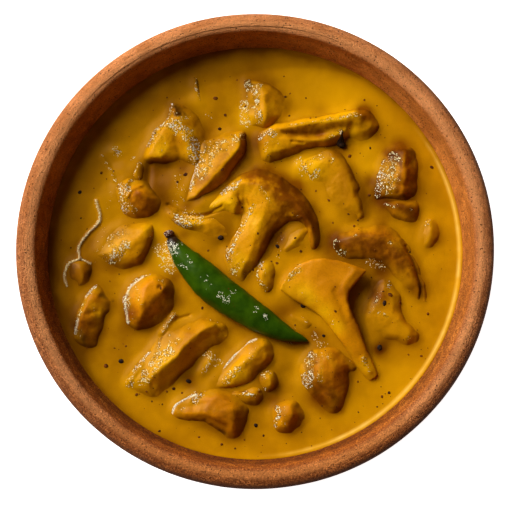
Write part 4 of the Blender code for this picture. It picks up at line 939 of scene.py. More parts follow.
        glint=[([(-29.4, 16.2), (-26.6, 14.4)], 0.9, 1.0), ([(-27, 12.8), (-21.6, 11.8)], 2.2, 1.0),
               ([(-19, 12.6), (-15, 13.4)], 0.7, 0.5)]),
    "sunk_east": dict(
        flank=0.6, sunk=0.9,
        rim=[(9.6, -19.6, -0.9), (13, -18, -0.9), (18, -20.4, -0.9), (21.6, -24, -0.9), (20, -27, -0.9),
             (16, -27.4, -0.9), (11.6, -24.4, -0.9)],
        chains=[[(12.6, -21.4, 0.8), (18, -24, 1.1)]],
        glint=[([(17, -22), (19, -25)], 0.7, 0.4)]),
    "arch_east": dict(
        rim=[(27.2, 4.4, 0.6), (29.6, 7.2, 0.8), (35, 9.8, 1.0), (42, 11.2, 1.0), (47.8, 10.2, 1.0),
             (52.2, 6.6, 0.8), (56, 0.6, 0.6), (59, -6, 0.5), (60.8, -12, 0.4), (60.4, -16.6, 0.2),
             (57.6, -15.8, 0.3), (53.6, -11.6, 0.4), (48.6, -7.8, 0.4), (45.6, -4.2, 0.4),
             (41, -2.2, 0.2), (34, -1.6, 0.2), (29, 0.4, 0.3)],
        chains=[[(29.6, 4.8, 2.8), (35, 6.6, 4.5), (42, 7.2, 5.2), (48, 5, 5.2), (52, 0, 4.8),
                 (55, -6, 3.9), (57.6, -12.4, 2.2)],
                [(33, 2.2, 3.4), (41, 2.2, 4.0), (46.4, -0.6, 4.0), (50.4, -5, 3.2), (54.4, -10, 2.0)]],
        lines=[([(53.4, 3.4), (56.4, -3.6), (58.4, -9.6), (58.8, -15)], -0.8, 0.7)],
        brown=[([(30, 4.4), (40, 4.6), (48, 1.4), (51, -4)], 6.6, 1.0),
               ([(52, 5), (56.6, -3), (58.8, -10), (58.6, -15)], 2.0, 1.0),
               ([(34, -0.6), (44, -1.6)], 1.6, 1.0)],
        char=[([(27.6, 5), (29, 2.6), (31.4, 0.8)], 1.8, 1.0),
              ([(55.6, -1.6), (58, -8), (58.6, -14.6)], 1.0, 0.85), ([(37, 0), (44, -1)], 1.6, 0.35)],
        glint=[([(28.4, 5.6), (29.6, 4.6)], 0.7, 0.8), ([(29.6, 2.6), (30.4, 1.6)], 0.6, 0.9),
               ([(47, 4.4), (48.2, 4.4)], 0.6, 0.9), ([(27.4, 3), (31, 1)], 1.6, 0.7),
               ([(34.6, 7), (35.4, 7)], 0.5, 0.6), ([(40.6, -1.2), (44.4, -2.6)], 0.8, 0.6)]),
    "roll_north": dict(
        rim=[(0.4, 42.6, 0.8), (3.4, 46, 1.4), (8, 47.6, 1.4), (15, 49, 1.4), (23, 50.4, 1.4),
             (31, 52, 1.4), (37, 53, 1.2), (40.6, 52.4, 0.8), (43.8, 49.6, 0.3), (44.4, 45.6, 0),
             (41.6, 41.8, 0), (36.6, 41, 0.2), (33.4, 42.4, 0.4), (31.2, 42.2, 1.6), (28.2, 40.4, 1.4),
             (22, 38.6, 0.4), (15, 36.2, 0.2), (8, 33.8, 0.2), (4, 32, 0.2), (1.8, 34.6, 0.6),
             (0.6, 38.6, 0.8)],
        chains=[[(3.6, 44.2, 4.4), (9, 45.9, 5.0), (16, 47, 5.4), (24, 48.3, 5.6), (32, 49.9, 5.6),
                 (36.8, 50.8, 5.2), (39.4, 50, 3.4), (41.2, 47.4, 3.2), (39.6, 44.8, 2.8),
                 (36.4, 44.8, 2.8)],
                [(9, 45.2, 4.9), (16, 46.0, 5.3), (24, 47.2, 5.5), (32, 48.9, 5.5)],
                [(8.6, 44.0, 3.8), (12, 43.6, 2.6), (17, 43.4, 2.2), (22, 43.8, 2.2), (27, 45.2, 3.0),
                 (34, 47.4, 3.3)],
                [(4.4, 41.6, 4.7), (10, 41.6, 4.7), (16, 41.2, 4.6), (22, 41.6, 4.6), (27.4, 42.4, 4.4),
                 (31, 43.6, 4.0)],
                [(3.8, 36.8, 3.8), (10, 38.0, 3.9), (18, 39.8, 3.8), (24, 41, 3.9), (28.4, 42.2, 3.6)]],
        lines=[([(13, 41), (17, 40.4)], -0.5, 0.5)],
        brown=[([(9, 44.4), (15, 44.2), (20, 44.3)], 1.7, 1.0),
               ([(20, 44.4), (28, 45.8), (34, 47.1)], 1.7, 1.0),
               ([(6, 47.6), (15, 49.2), (24, 50.8), (32, 52.4), (39, 53)], 0.7, 0.9),
               ([(40.6, 52.6), (43.6, 49.6)], 1.8, 0.9), ([(4.6, 35), (13, 37), (22, 39.4)], 1.4, 1.0),
               ([(43, 50), (43.4, 45.6), (40, 42.6)], 1.5, 0.9), ([(34, 48), (39, 45.6)], 2.2, 0.9),
               ([(12.6, 40.9), (16.6, 40.3)], 0.5, 0.8)],
        char=[([(42.4, 49), (43, 46)], 0.8, 0.3)],
        glint=[([(11, 46.5), (20, 47.8), (26, 48.8)], 0.45, 0.7),
               ([(26, 48.8), (32, 49.8), (37, 50.8)], 0.9, 0.8),
               ([(1.6, 42.6), (3.4, 44.6), (6, 43.6)], 1.3, 1.0),
               ([(3.6, 40), (4, 36), (2.6, 34)], 0.9, 0.6), ([(26, 42.2), (30.4, 44.4)], 0.8, 0.9),
               ([(6, 41), (8, 40)], 1.2, 0.4), ([(24, 39.4), (25.6, 38.6)], 0.5, 0.6)]),
    "whole": dict(
        rim=[(-22, 18.2, 0.5), (-17, 20.8, 0.6), (-12.4, 24.2, 0.8), (-8.6, 27.2, 0.8), (-4.4, 30, 0.6),
             (2.7, 31.8, 0.5), (9, 29.0, 0.5), (15.2, 24.8, 0.4), (20, 18.8, 0.4), (22.8, 12.6, 0.3),
             (23.4, 6.4, 0.2), (21.4, 2.2, 0), (18.8, 2, 0.1), (18.4, 5, 0.3), (18.8, 8.4, 0.4),
             (16.4, 11.6, 0.4), (12.6, 12.0, 0.5), (9.8, 11.0, 1.6), (7.0, 8.4, 0.6), (4.2, 4, 0.5),
             (2.0, -1, 0.3), (-0.6, -5.4, 0.2), (-3.6, -9, 0.2), (-6.8, -9.8, 0.0), (-10, -7.2, 0.6),
             (-11.2, -2, 1.2), (-10.4, 2.4, 1.5), (-8.2, 6.8, 1.5), (-6.2, 10.8, 1.3), (-6.4, 13.4, 0.6),
             (-8.4, 14.4, 0.5), (-13, 14, 0.6), (-18, 14.2, 0.5), (-21.8, 15, 0.4)],
        chains=[[(-19, 17, 2.2), (-13, 20.4, 3.6), (-8, 24, 5.0), (-3, 25.8, 6.0), (2.6, 25, 6.7),
                 (8, 22.6, 6.8), (13, 19, 6.5), (17, 15, 5.7), (20, 9.6, 4.4), (20.6, 4.6, 2.4)],
                [(4.6, 20.4, 6.6), (3.4, 15.4, 6.0), (1.0, 9.8, 5.3), (-1.2, 4, 4.8), (-3.0, -1.6, 3.9),
                 (-4.8, -6, 2.4)],
                [(5.9, 14.8, 5.3), (3.8, 9, 4.2), (1.6, 3.4, 3.5), (-0.2, -2.4, 2.6)],
                [(9.4, 18.0, 5.6), (12.6, 17.0, 5.0), (15.8, 14.8, 4.0)],
                [(8.6, 12.8, 3.1), (12.4, 14.2, 3.6), (15.6, 13, 2.4)],
                [(-0.4, 17.4, 4.6), (-2.4, 13, 3.9), (-4.8, 8.6, 3.4), (-7.2, 3.6, 3.0), (-9, -1.6, 2.4)],
                [(-4.4, 20.8, 3.6), (-4.4, 18, 2.2), (-4.4, 15.4, 1.3)],
                [(-17, 16.6, 2.4), (-12.4, 18, 3.9), (-9.2, 20.0, 4.9)],
                [(-9.6, 18.4, 5.0), (-7.2, 18.8, 4.9), (-7.6, 15.4, 4.3)]],
        lines=[([(-6.1, 21.3), (-5.3, 18.5)], -0.25, 0.5), ([(-3.3, 20.1), (-2.5, 18.1)], -0.2, 0.4),
               ([(-16.6, 15.7), (-12.6, 17.3), (-11.8, 18.1)], -0.35, 0.5),
               ([(13.2, 14.3), (14.4, 13.3), (16, 13.7)], 0.4, 0.4)],
        brown=[([(-3, 29), (2.4, 28.6), (8.8, 26), (14.6, 21.6), (18.8, 15.6), (21.8, 8),
                 (20.6, 3)], 5.0, 1.0),
               ([(9, 22), (13.6, 18.4), (18, 12.6)], 6.0, 1.0),
               ([(3.4, 26), (6.4, 21.6), (9.4, 17.4)], 3.2, 0.8),
               ([(7.4, 12), (5, 8), (2.2, 2), (-1, -4), (-3.6, -7.4)], 1.4, 0.5),
               ([(-5.4, 18.4), (-6, 16.4)], 2.4, 0.3), ([(-6.4, 20.6), (-5.4, 18)], 0.6, 0.9),
               ([(-3.2, 20), (-2.5, 18)], 0.4, 0.8), ([(-16.4, 15.8), (-12, 17.8)], 0.4, 0.8),
               ([(1.4, 23.4), (4, 19)], 0.9, 0.5), ([(-9, -6.4), (-6, -8.4)], 1.2, 0.6)],
        char=[([(4, 29.6), (9.6, 27.6), (15.6, 23.4), (20, 17.6), (22.6, 10)], 1.4, 0.5),
              ([(21.8, 8), (21, 3.6)], 1.4, 0.4), ([(10, 23.6), (15, 18.6), (19, 12)], 4.6, 0.34)],
        glint=[([(-11.6, 22.6), (-8.6, 24.6), (-5.6, 26.6)], 1.0, 1.0),
               ([(-8, 24.4), (-7, 25)], 1.4, 0.9), ([(-20, 17), (-14, 19.6)], 1.8, 0.45),
               ([(-0.8, 17.4), (-3.6, 12.4), (-6.2, 8), (-8.6, 3), (-9.8, -1)], 1.1, 1.0),
               ([(-9.6, 2), (-7.8, -5)], 2.0, 0.75), ([(-6, 0), (-4, -5)], 1.5, 0.5),
               ([(1.6, 24), (3.6, 21), (5, 18.6)], 0.9, 0.6), ([(-4, 23.6), (0, 22)], 1.4, 0.35),
               ([(13.2, 14.5), (16, 13.9)], 0.4, 0.5)]),
    "button_east": dict(
        rim=[(16.4, -45, 0.8), (15.8, -41, 1.0), (16.8, -37, 1.0), (19.4, -33.6, 1.0), (23, -32.8, 1.0),
             (28, -33, 0.8), (32, -34.6, 0.6), (34.8, -36.6, 0.4), (36.8, -39.4, 0.2), (35.2, -41.4, 0),
             (33.2, -41.8, 0), (34, -45, 0), (32.6, -50, 0), (31, -54.4, 0), (28, -56.6, 0),
             (24.6, -56, 0), (20.6, -52, 0.2), (18, -48.4, 0.4)],
        chains=[[(21.4, -34.8, 4.4), (22.4, -39, 6.4), (21.8, -43.6, 6.2), (20.6, -46.6, 4.2)],
                [(26.6, -35.6, 5.4), (27.6, -40.6, 6.4), (26.8, -44.6, 5.8)],
                [(31, -41, 3.8), (31.4, -47, 2.6), (29.6, -52, 2.4)],
                [(22.4, -47.6, 3.4), (27, -47.4, 4.2), (30, -46, 3.6)],
                [(22.6, -50, 3.0), (26, -50.8, 4.4), (27.4, -53.4, 3.0)],
                [(33, -38, 2.8), (34.6, -39.4, 2.2)]],
        brown=[([(20.6, -49), (25, -53), (29, -54.6)], 2.2, 1.0), ([(26, -48.6), (28.6, -51)], 2.6, 1.0),
               ([(32, -42), (32, -50)], 2.0, 1.0), ([(29, -42.6), (30, -46)], 1.8, 0.7),
               ([(32, -36.4), (35.4, -40)], 1.6, 0.9), ([(19.4, -35), (19.4, -43), (20, -50)], 3.6, 0.9),
               ([(20.6, -33.8), (27, -34)], 1.6, 0.6), ([(24, -38), (25, -44)], 2.6, 0.35),
               ([(19.4, -45), (24, -46.6)], 1.2, 0.7)],
        char=[([(23, -53.4), (27.6, -55.6)], 1.2, 0.45), ([(31, -45), (30.4, -50)], 1.1, 0.35),
              ([(18.6, -36), (17.8, -41), (19, -47)], 2.8, 0.55), ([(24, -50), (28, -53)], 2.4, 0.35)],
        glint=[([(19.6, -35), (18.4, -40), (18.4, -45)], 1.9, 1.0),
               ([(22.6, -35), (22.6, -44)], 1.1, 0.6), ([(25, -34.4), (27, -37.6)], 1.6, 0.45),
               ([(27, -48.6), (28.4, -50)], 1.2, 0.3), ([(33, -37.6), (34, -39)], 0.8, 0.4)]),
}
FAN = dict(
    lines=[([(28, -13), (30, -18.6), (32, -24)], -0.4, 1.2),
           ([(8.6, -10.4), (12.4, -5.2), (17, -1.6), (24, 0.4)], 0.6, 0.7),
           ([(38, -36.6), (40.4, -41)], 0.5, 0.9), ([(35, -5.6), (31, -12), (33.4, -21)], 0.4, 1.2)],
    brown=[([(24, -6), (28, -12)], 4.6, 0.32), ([(32.6, -17), (36, -26), (40.4, -36)], 1.5, 0.9),
           ([(32, -4), (38, -5)], 1.4, 0.4), ([(20, -1), (30, -2)], 1.4, 0.3)],
    glint=[([(8.3, -11), (10.7, -6.8), (14.8, -3.2), (18.8, -0.8), (23.6, 0.4)], 0.6, 1.0),
           ([(12, -8), (15, -5.6)], 1.3, 0.7), ([(16, -14), (22, -16)], 1.2, 0.35),
           ([(24, -20), (27, -23.6)], 1.2, 0.4), ([(38, -36.6), (40, -40.6)], 0.8, 0.7),
           ([(33, -4.4), (34, -5.6)], 0.7, 0.5)])
FAN_END = np.array([40.4, -39.4])  # where the stem is thicker again
FAN_ACROSS = np.array([0.89, 0.456])
FAN_SWELL, FAN_SWELL_REACH = 0.35, 5.5
FLESH_KIND = {  # the finish of a piece, where it isn't golden
    "arch_east": "brown", "arch_small": "brown", "cap_small": "brown", "button_west": "orange",
    "wedge_south": "orange", "chunk_east": "brown", "button_east": "brown", "chunk_south": "orange",
    "bit_east": "brown", "chunk_west": "orange",
}
STEP = 0.33  # between the points of a piece's top
SUNK = 3.0  # how far a piece reaches under the level
FLANK = 2.2  # the slope below a piece's outline
MARGIN = 3.0  # how far the grid of a piece reaches past its outline
CUT_OFF = -1.4  # height under the level where a piece's top ends
LOWERED = 0.88  # the heights in the tables are the dry pieces'; the sauce on them evens them out
SWAY = 0.55  # how far the outlines and ridges sway
BROWN_AND_SHADE_SHARES = {  # how much of the painted brown (brown skin, and painted shade on flanks away from the light) shows, where it isn't the usual share
    "slab_long": 0.12, "fold_south": 0.35, "slice_long": 0.50, "slab_west": 0.40, "arch_small": 0.70,
    "arch_east": 0.75, "fold_north": 0.60, "roll_north": 0.65, "whole": 0.95, "chunk_east": 0.9,
    "bit_east": 0.8, "button_east": 0.7, "wedge_south": 0.95, "lip_south": 0.95, "flat_north": 0.8,
}
USUAL_BROWN_AND_SHADE = 0.80
SPAN = 4  # points along each span of a rim or chain

# How slope and height turn into paint (painted shade, the coat of sauce), as (none, all)
AWAY = (0.10, 0.65)  # a normal's lean away from the light, for the lee's painted shade
STEEP = (0.12, 0.45)  # a normal's lean, for the painted shade seam at a foot
SEAM_ENDS = (0.4, 2.0)  # height over the level where the painted shade seam ends
COAT_ENDS = (1.2, 3.8)  # and where the coat of sauce does
SHADOW_ENDS = (0.4, 2.4)  # and where the sauce's painted shadow on a piece ends


def ring_of(rim):
    """The rim as a closed smooth line."""
    count = len(rim)
    points = curve([rim[k % count] for k in range(-2, count + 3)], SPAN)
    return points[2 * SPAN : (2 + count) * SPAN]


def heights_in(form, xy):
    """The height over the level that the form gives to each point in plan, before it is evened out."""
    ring = ring_of(form["rim"])
    points = list(ring)
    edges = [(k, (k + 1) % len(ring)) for k in range(len(ring))]
    for chain in form["chains"]:
        line = curve(chain, SPAN)
        edges += [(len(points) + k, len(points) + k + 1) for k in range(len(line) - 1)]
        points += list(line)
    flat = [Vector(p[:2]) for p in points]
    made, _, faces, origin, _, _ = delaunay_2d_cdt(flat, edges, [list(range(len(ring)))], 1, 1e-5)
    height = [points[o[0]][2] if o else 2.0 for o in origin]
    closed = np.vstack([ring, ring[:1]])
    far, share = off_line(xy, closed)
    high = np.interp(share, np.linspace(0, 1, len(closed)), closed[:, 2]) - form.get("flank", FLANK) * far
    for face in faces:
        a, b, c = (np.array(made[k]) for k in face)
        area = (b[0] - a[0]) * (c[1] - a[1]) - (c[0] - a[0]) * (b[1] - a[1])
        if abs(area) < 1e-9:
            continue
        off = xy - a
        u = (off[:, 0] * (c[1] - a[1]) - (c[0] - a[0]) * off[:, 1]) / area
        v = ((b[0] - a[0]) * off[:, 1] - off[:, 0] * (b[1] - a[1])) / area
        inside = (u >= -1e-6) & (v >= -1e-6) & (u + v <= 1 + 1e-6)
        ha, hb, hc = (height[k] for k in face)
        high[inside] = (ha + u * (hb - ha) + v * (hc - ha))[inside]
    return high


def details(xy, form):
    return ridges(xy, form.get("lines", [])) + soft_spots(xy, form.get("spots", []))


def shade_at(xy):
    return soft_spots(xy, SHADES) * (1 + 0.25 * flat_noise(xy, 4, 58, 3))


def paint_piece(obj, form, xy, high, seed, brown_and_shade_share):
    """Paints the layers that the flesh's material reads."""
    normals = normals_of(obj.data)
    away = rise_to(-(normals[:, :2] @ LIGHT_FROM), *AWAY) * rise_to(normals[:, 2], -0.2, 0.1)
    ragged = flat_noise(xy, 1.8, seed + 9, 3)
    brown = near_lines(xy, form.get("brown", []), ragged)
    steep = rise_to(1 - normals[:, 2], *STEEP) * rise_to(high, -0.4, 0.2)
    foot = np.maximum(away, 0.75 * steep) * (1 - rise_to(high, *SEAM_ENDS))
    # brown layer: the brown marks, painted shade on the side away from the light, and a painted shade seam
    # at the foot
    paint(obj, "brown", brown_and_shade_share * brown + (0.06 + 0.24 * brown_and_shade_share) * away * (1 - brown) + 0.45 * foot)
    # painted shade on the side away from the light
    paint(obj, "lee", away)
    # painted light from the listed places
    paint(obj, "painted_light", soft_spots(xy, PAINTED_LIGHTS))
    # painted highlight lines along lit edges
    paint(obj, "highlight_line", near_lines(xy, form.get("highlight_line", []), soft=0.8))
    paint(obj, "char", near_lines(xy, form.get("char", []), ragged))
    waterline = high + 0.7 * flat_noise(xy, 3, seed + 3, 2)
    # the coat is left off the side away from the light and off the brown, which keeps their painted shade
    # and brown
    coat = (1 - rise_to(waterline, *COAT_ENDS)) * (1 - 0.8 * np.maximum(away, brown_and_shade_share * brown))
    paint(obj, "coat", np.maximum(coat, form.get("sunk", 0.0)))
    paint(obj, "shade", shade_at(xy))
    # painted sparkle places, in patches
    patchy = 0.55 + 0.45 * rise_to(flat_noise(xy, 1.6, seed + 15, 3), -0.5, 0.2)
    paint(obj, "glint", near_lines(xy, form.get("glint", []), ragged, 0.8) * patchy)


def relief_of(form, seed, xs, ys):
    """The heights of a piece's top over a grid, and the grid's points."""
    xy = np.array([g.ravel() for g in np.meshgrid(xs, ys, indexing="ij")]).T
    sway = np.column_stack([flat_noise(xy, 3.6, seed + k, 3) for k in (20, 30)])
    field = heights_in(form, xy + SWAY * sway).reshape(len(xs), len(ys))
    crisp, soft = blurred(field, 0.30, STEP), blurred(field, 1.0, STEP)
    high = LOWERED * (0.50 * crisp + 0.50 * soft).ravel() + details(xy, form)
    thick = rise_to(high, -0.2, 1.6)
    return xy, high + thick * (0.17 * flat_noise(xy, 4.2, seed, 3) + 0.06 * flat_noise(xy, 1.3, seed + 5, 2))


def build_piece(name, form, finish, slot):
    """One piece: a fine relief over its outline, closed below the level."""
    seed = sum(map(ord, name))
    rim = np.array(form["rim"])[:, :2]
    low, top = rim.min(0) - MARGIN, rim.max(0) + MARGIN
    xs, ys = np.arange(low[0], top[0], STEP), np.arange(low[1], top[1], STEP)
    xy, high = relief_of(form, seed, xs, ys)
    keep = (high > CUT_OFF).reshape(len(xs), len(ys))
    i, j = np.nonzero(keep[:-1, :-1] & keep[1:, :-1] & keep[1:, 1:] & keep[:-1, 1:])
    used, inverse = np.unique(cells(i, j, len(ys)), return_inverse=True)
    quads = inverse.reshape(-1, 4)
    count = len(used)
    flat = xy[used]
    upper = np.column_stack([flat + LAYOUT_AT, LEVEL + high[used]])
    under = np.column_stack([flat + LAYOUT_AT, np.full(count, LEVEL - SUNK)])
    faces = quads.tolist() + (quads[:, ::-1] + count).tolist()
    faces += [[b, a, a + count, b + count] for a, b in border_of(quads)]
    piece = new_object("mushroom_" + name + "_wet", np.vstack([upper, under]), faces)
    heights = np.concatenate([high[used], np.full(count, -SUNK)])
    paint_piece(piece, form, np.vstack([flat, flat]), heights, seed, BROWN_AND_SHADE_SHARES.get(name, USUAL_BROWN_AND_SHADE))
    return dress(piece, finish, slot, "mushroom_" + name)


def border_of(quads):
    """The edges that only one quad has, in that quad's direction."""
    edges = {tuple(e) for e in quads[:, [[0, 1], [1, 2], [2, 3], [3, 0]]].reshape(-1, 2).tolist()}
    return [e for e in edges if (e[1], e[0]) not in edges]


def build_fan(finish):
    """The standing slice keeps the solid's own form."""
    fan = fine_copy(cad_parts["mushroom_fan"], 0.40, 14)
    points = points_of(fan.data)
    xy = points[:, :2] - LAYOUT_AT
    end = FAN_END + LAYOUT_AT
    swell = FAN_SWELL * np.exp(-((np.hypot(*(points[:, :2] - end).T) / FAN_SWELL_REACH) ** 2))
    points[:, :2] += swell[:, None] * ((points[:, :2] - end) @ FAN_ACROSS)[:, None] * FAN_ACROSS
    points[:, 2] += details(xy, FAN) + 0.16 * noise(points, 4.5, 61, 3)
    move_points(fan.data, points)
    paint_piece(fan, FAN, xy, points[:, 2] - LEVEL, 61, 0.6)
    return dress(fan, finish, "mushroom_flesh", "mushroom_fan")


def build_pieces():
    finishes = {
        "golden": flesh_finish("flesh_golden", GOLDEN, BROWN),
        "fan": flesh_finish("flesh_fan", FAN_GOLDEN, BROWN),
        "orange": flesh_finish("flesh_orange", ORANGE, ORANGE_BROWN),
        "brown": flesh_finish("flesh_brown", TAN, DARK_BROWN),
    }
    built = [build_fan(finishes["fan"])]
    for name, form in FORMS.items():
        slot = "mushroom_brown" if "arch" in name else "mushroom_flesh"
        built.append(build_piece(name, form, finishes[FLESH_KIND.get(name, "golden")], slot))
    return built


# The chilli


CHILLI_GLINTS = [  # (x, y, radius) of the patches with painted sparkles
    (-29.6, 6, 3.8), (-28.2, 2.4, 4.8), (-26.4, -1, 4.4), (-24, -3.4, 2.6), (-18, -8.3, 2.0),
    (-16, -12.2, 2.4), (-12.6, -14.4, 1.8), (-10.2, -16, 2.2), (-8, -13, 1.6), (0, -19.4, 2.0),
    (3.4, -22, 1.8), (-20, -5, 1.6),
]
CHILLI_FROM = np.array([-31.95, 11.2])
CHILLI_ALONG = np.array([0.773, -0.634])
CHILLI_ACROSS = np.array([CHILLI_ALONG[1], -CHILLI_ALONG[0]])
CHILLI_BEND = np.array([  # (place along the chilli, the solid's middle, where it lies, share of its width)
    (1.4, 1.6, 2.1, 0.95), (7.1, 3.3, 3.45, 0.93), (15.7, 5.1, 4.6, 0.98), (21.4, 5.05, 5.0, 0.97),
    (27.1, 4.5, 5.25, 0.94), (32.9, 4.1, 5.1, 0.92), (38.6, 3.8, 4.75, 0.91), (47.1, 3.2, 3.7, 0.98),
    (55.7, 2.4, 2.4, 0.94), (61.4, 1.0, 0.5, 0.82), (64.3, 0.2, -0.3, 0.8),
])
CHILLI_CHAR_AT = np.array([-31.4, 8.0])  # where it is darkest
CHILLI_CHAR = (2.4, 9.5)  # and how far that reaches: all of it, none
STUB_SIZE, STUB_MOVED = 0.76, (1.1, -0.3, 0)  # the stalk end against the solid's


def settled(points):
    """How far the chilli lies from where the solid has it."""
    shift = rise_to(-points[:, 0], 2, 22)[:, None] * [-0.9, -1.6, 0]
    off = points[:, :2] + shift[:, :2] - LAYOUT_AT - CHILLI_FROM
    along, aside = off @ CHILLI_ALONG, off @ CHILLI_ACROSS
    before, after, share = (np.interp(along, CHILLI_BEND[:, 0], CHILLI_BEND[:, k]) for k in (1, 2, 3))
    moved = after + (aside - before) * share - aside
    shift[:, :2] += moved[:, None] * CHILLI_ACROSS
    return shift


def build_chilli():
    chilli = fine_copy(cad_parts["green_chilli"], 0.36, 40)
    points = points_of(chilli.data)
    ripple = noise(points, 5, 77, 2) * 0.22 + noise(points, 1.6, 79, 2) * 0.05
    points = points + normals_of(chilli.data) * ripple[:, None] + settled(points)
    move_points(chilli.data, points)
    xy = points[:, :2] - LAYOUT_AT
    far = np.hypot(*(xy - CHILLI_CHAR_AT).T) + 0.7 * flat_noise(xy, 1.6, 83)
    paint(chilli, "char", 1 - rise_to(far, *CHILLI_CHAR))
    bright = np.zeros(len(xy))
    for x, y, radius in CHILLI_GLINTS:
        bright = np.maximum(bright, 1 - rise_to(np.hypot(xy[:, 0] - x, xy[:, 1] - y), 0.5 * radius, radius))
    paint(chilli, "glint", bright * rise_to(flat_noise(xy, 2.0, 91, 3), -0.35, 0.25))
    dress(chilli, chilli_finish(), "chilli_skin", "green_chilli")
    stub = fine_copy(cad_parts["chilli_stalk"], 0.30, 16)
    points = points_of(stub.data)
    points = points + settled(points)
    points = points.mean(0) + STUB_SIZE * (points - points.mean(0)) + STUB_MOVED
    points = points + normals_of(stub.data) * (noise(points, 1.2, 85, 2) * 0.25)[:, None]
    move_points(stub.data, points)
    paint(stub, "glint", np.full(len(points), 0.75))
    dress(stub, stalk_finish(), "chilli_stalk", "chilli_stalk")
    return [chilli, stub]


# The sauce


GRID_STEP, GRID_HALF = 0.4, 78.0  # of the grid on which the pieces' heights are taken
WET = 1.2  # how high the sauce creeps up a piece
CREEP = 1.3  # how far the creep reaches
UNDER = 0.35  # how far the sauce stays under what stands out of it
FILM = 0.30  # how thick it lies on what is lower
DRAWN = 0.5  # how much further it creeps up on the side of the light
SHEET_CELLS = 300  # along each side of the sauce's sheet
SHEET_INTO_WALL = 0.25  # how far the sheet's edge reaches into the clay
SKIRT_RINGS = (44, 36, 26, 18, 13)  # heights of the rings that close the sauce below
SKIRT_GAP = 0.3  # how far they keep from the clay
WALL_HIGHLIGHT_FACING = np.array([0.906, -0.423])  # where the painted highlight along the wall is strongest, in plan: the side where the sauce's edge faces the light
THREAD_LONG = [(-57, 20), (-55.6, 13), (-59.6, 8.4), (-63, 3.4), (-62.6, -1)]  # thin strings at the left
THREAD_LOWER = [(-62.6, -1), (-66.6, -3), (-68, -7), (-67.2, -10.6)]
THREAD_SIDE = [(-62.6, -1), (-58.8, -2.6)]
WRINKLES = [  # raised or cut lines in the sauce: (line, height, width)
    (THREAD_LONG, 0.8, 0.45), (THREAD_LOWER, 0.7, 0.45), (THREAD_SIDE, 0.5, 0.45),
    ([(-55, 36), (-52, 31), (-50.6, 27)], 0.5, 0.6),
    ([(-31.4, 18.6), (-27, 16), (-24, 14.6), (-19, 14.4), (-15, 15.6), (-12.6, 17)], -0.9, 0.5),
    ([(-19, -41), (-15.4, -35)], 1.0, 2.0), ([(-38, 33), (-38.6, 24)], -0.8, 1.2),
    ([(-28.4, -22.6), (-23.5, -21)], -0.5, 0.5), ([(-29, -21), (-33.5, -27.5)], 0.9, 0.9),
]
HUMPS = [  # (x, y, height, radius)
    (-47, 31, 1.6, 4.5), (-53, 20, 0.8, 5), (-23, 30, 1.0, 4), (-30, 25, 1.0, 5), (-9, 14, 1.4, 4),
    (-13, 30, 0.6, 5), (15, 32, 0.8, 4), (14, -12, 0.8, 5), (-38, -28, -0.4, 4), (-16, -38, 1.4, 3),
    (9, -38, 0.6, 4), (0, -46, 0.8, 4), (37, 20, 0.5, 5), (36, -28, -0.6, 4), (33, -50, 0.5, 5),
    (-6, 40, -0.6, 5), (-14, 55, 0.8, 6), (-34, 60, 0.5, 6), (-18, 19, 1.8, 5), (-24, 16.6, 1.0, 3.5),
    (-34, 31, -0.8, 4), (-14, 48, -0.7, 5), (41, 20, -0.6, 4), (43, -12, -0.8, 4), (12, -42, -0.8, 4),
    (22, -30, 0.7, 3), (42, -3, 0.7, 3.5), (-27, 23, 0.8, 3.5),
]
PAINTED_SHADOWS = [  # (x, y, share, radius) of the hollows that get painted shadow
    (-34, 31, 0.9, 7), (-33, 24, 0.9, 4.5), (43.8, -32.6, 1.0, 2.2), (8.8, 8.4, 0.6, 2.8),
    (-14, 50, 0.25, 7), (-1, 40, 0.9, 4.6), (40, 25, 0.4, 4), (41, 20, 0.8, 5), (60, 33, 0.5, 4),
    (61, 22, 0.4, 4), (27, 4, 0.7, 4), (42, -11, 1.0, 4.6), (38, -19, 0.6, 4), (45, -5, 0.7, 3.4),
    (22, 3, 0.5, 4), (32, 0, 0.6, 4), (-11, 11, 0.6, 4), (-64, -22, 0.6, 4), (-62, -33, 0.5, 4),
    (-48, -17, 0.5, 3.5), (-46, -25, 0.3, 3.5), (45, -32, 0.8, 4), (-4, -58, 0.25, 5), (9, -46, 0.7, 5),
    (12, -39, 0.2, 5), (0, -56, 0.3, 5), (-56, -13, 0.6, 5), (-60, 2, 0.4, 6), (-44, -32, 0.4, 7),
    (-20, -48, 0.3, 6), (-4, 62, 0.4, 5), (-22, 20, 0.4, 5), (-14, 3, 0.5, 6), (30, -8, 0.3, 5),
    (25, -30, 0.5, 5), (16, -30, 0.5, 5), (-50, 8, 0.3, 6), (-38, -22, 0.4, 6), (56, -34, 0.3, 5),
]
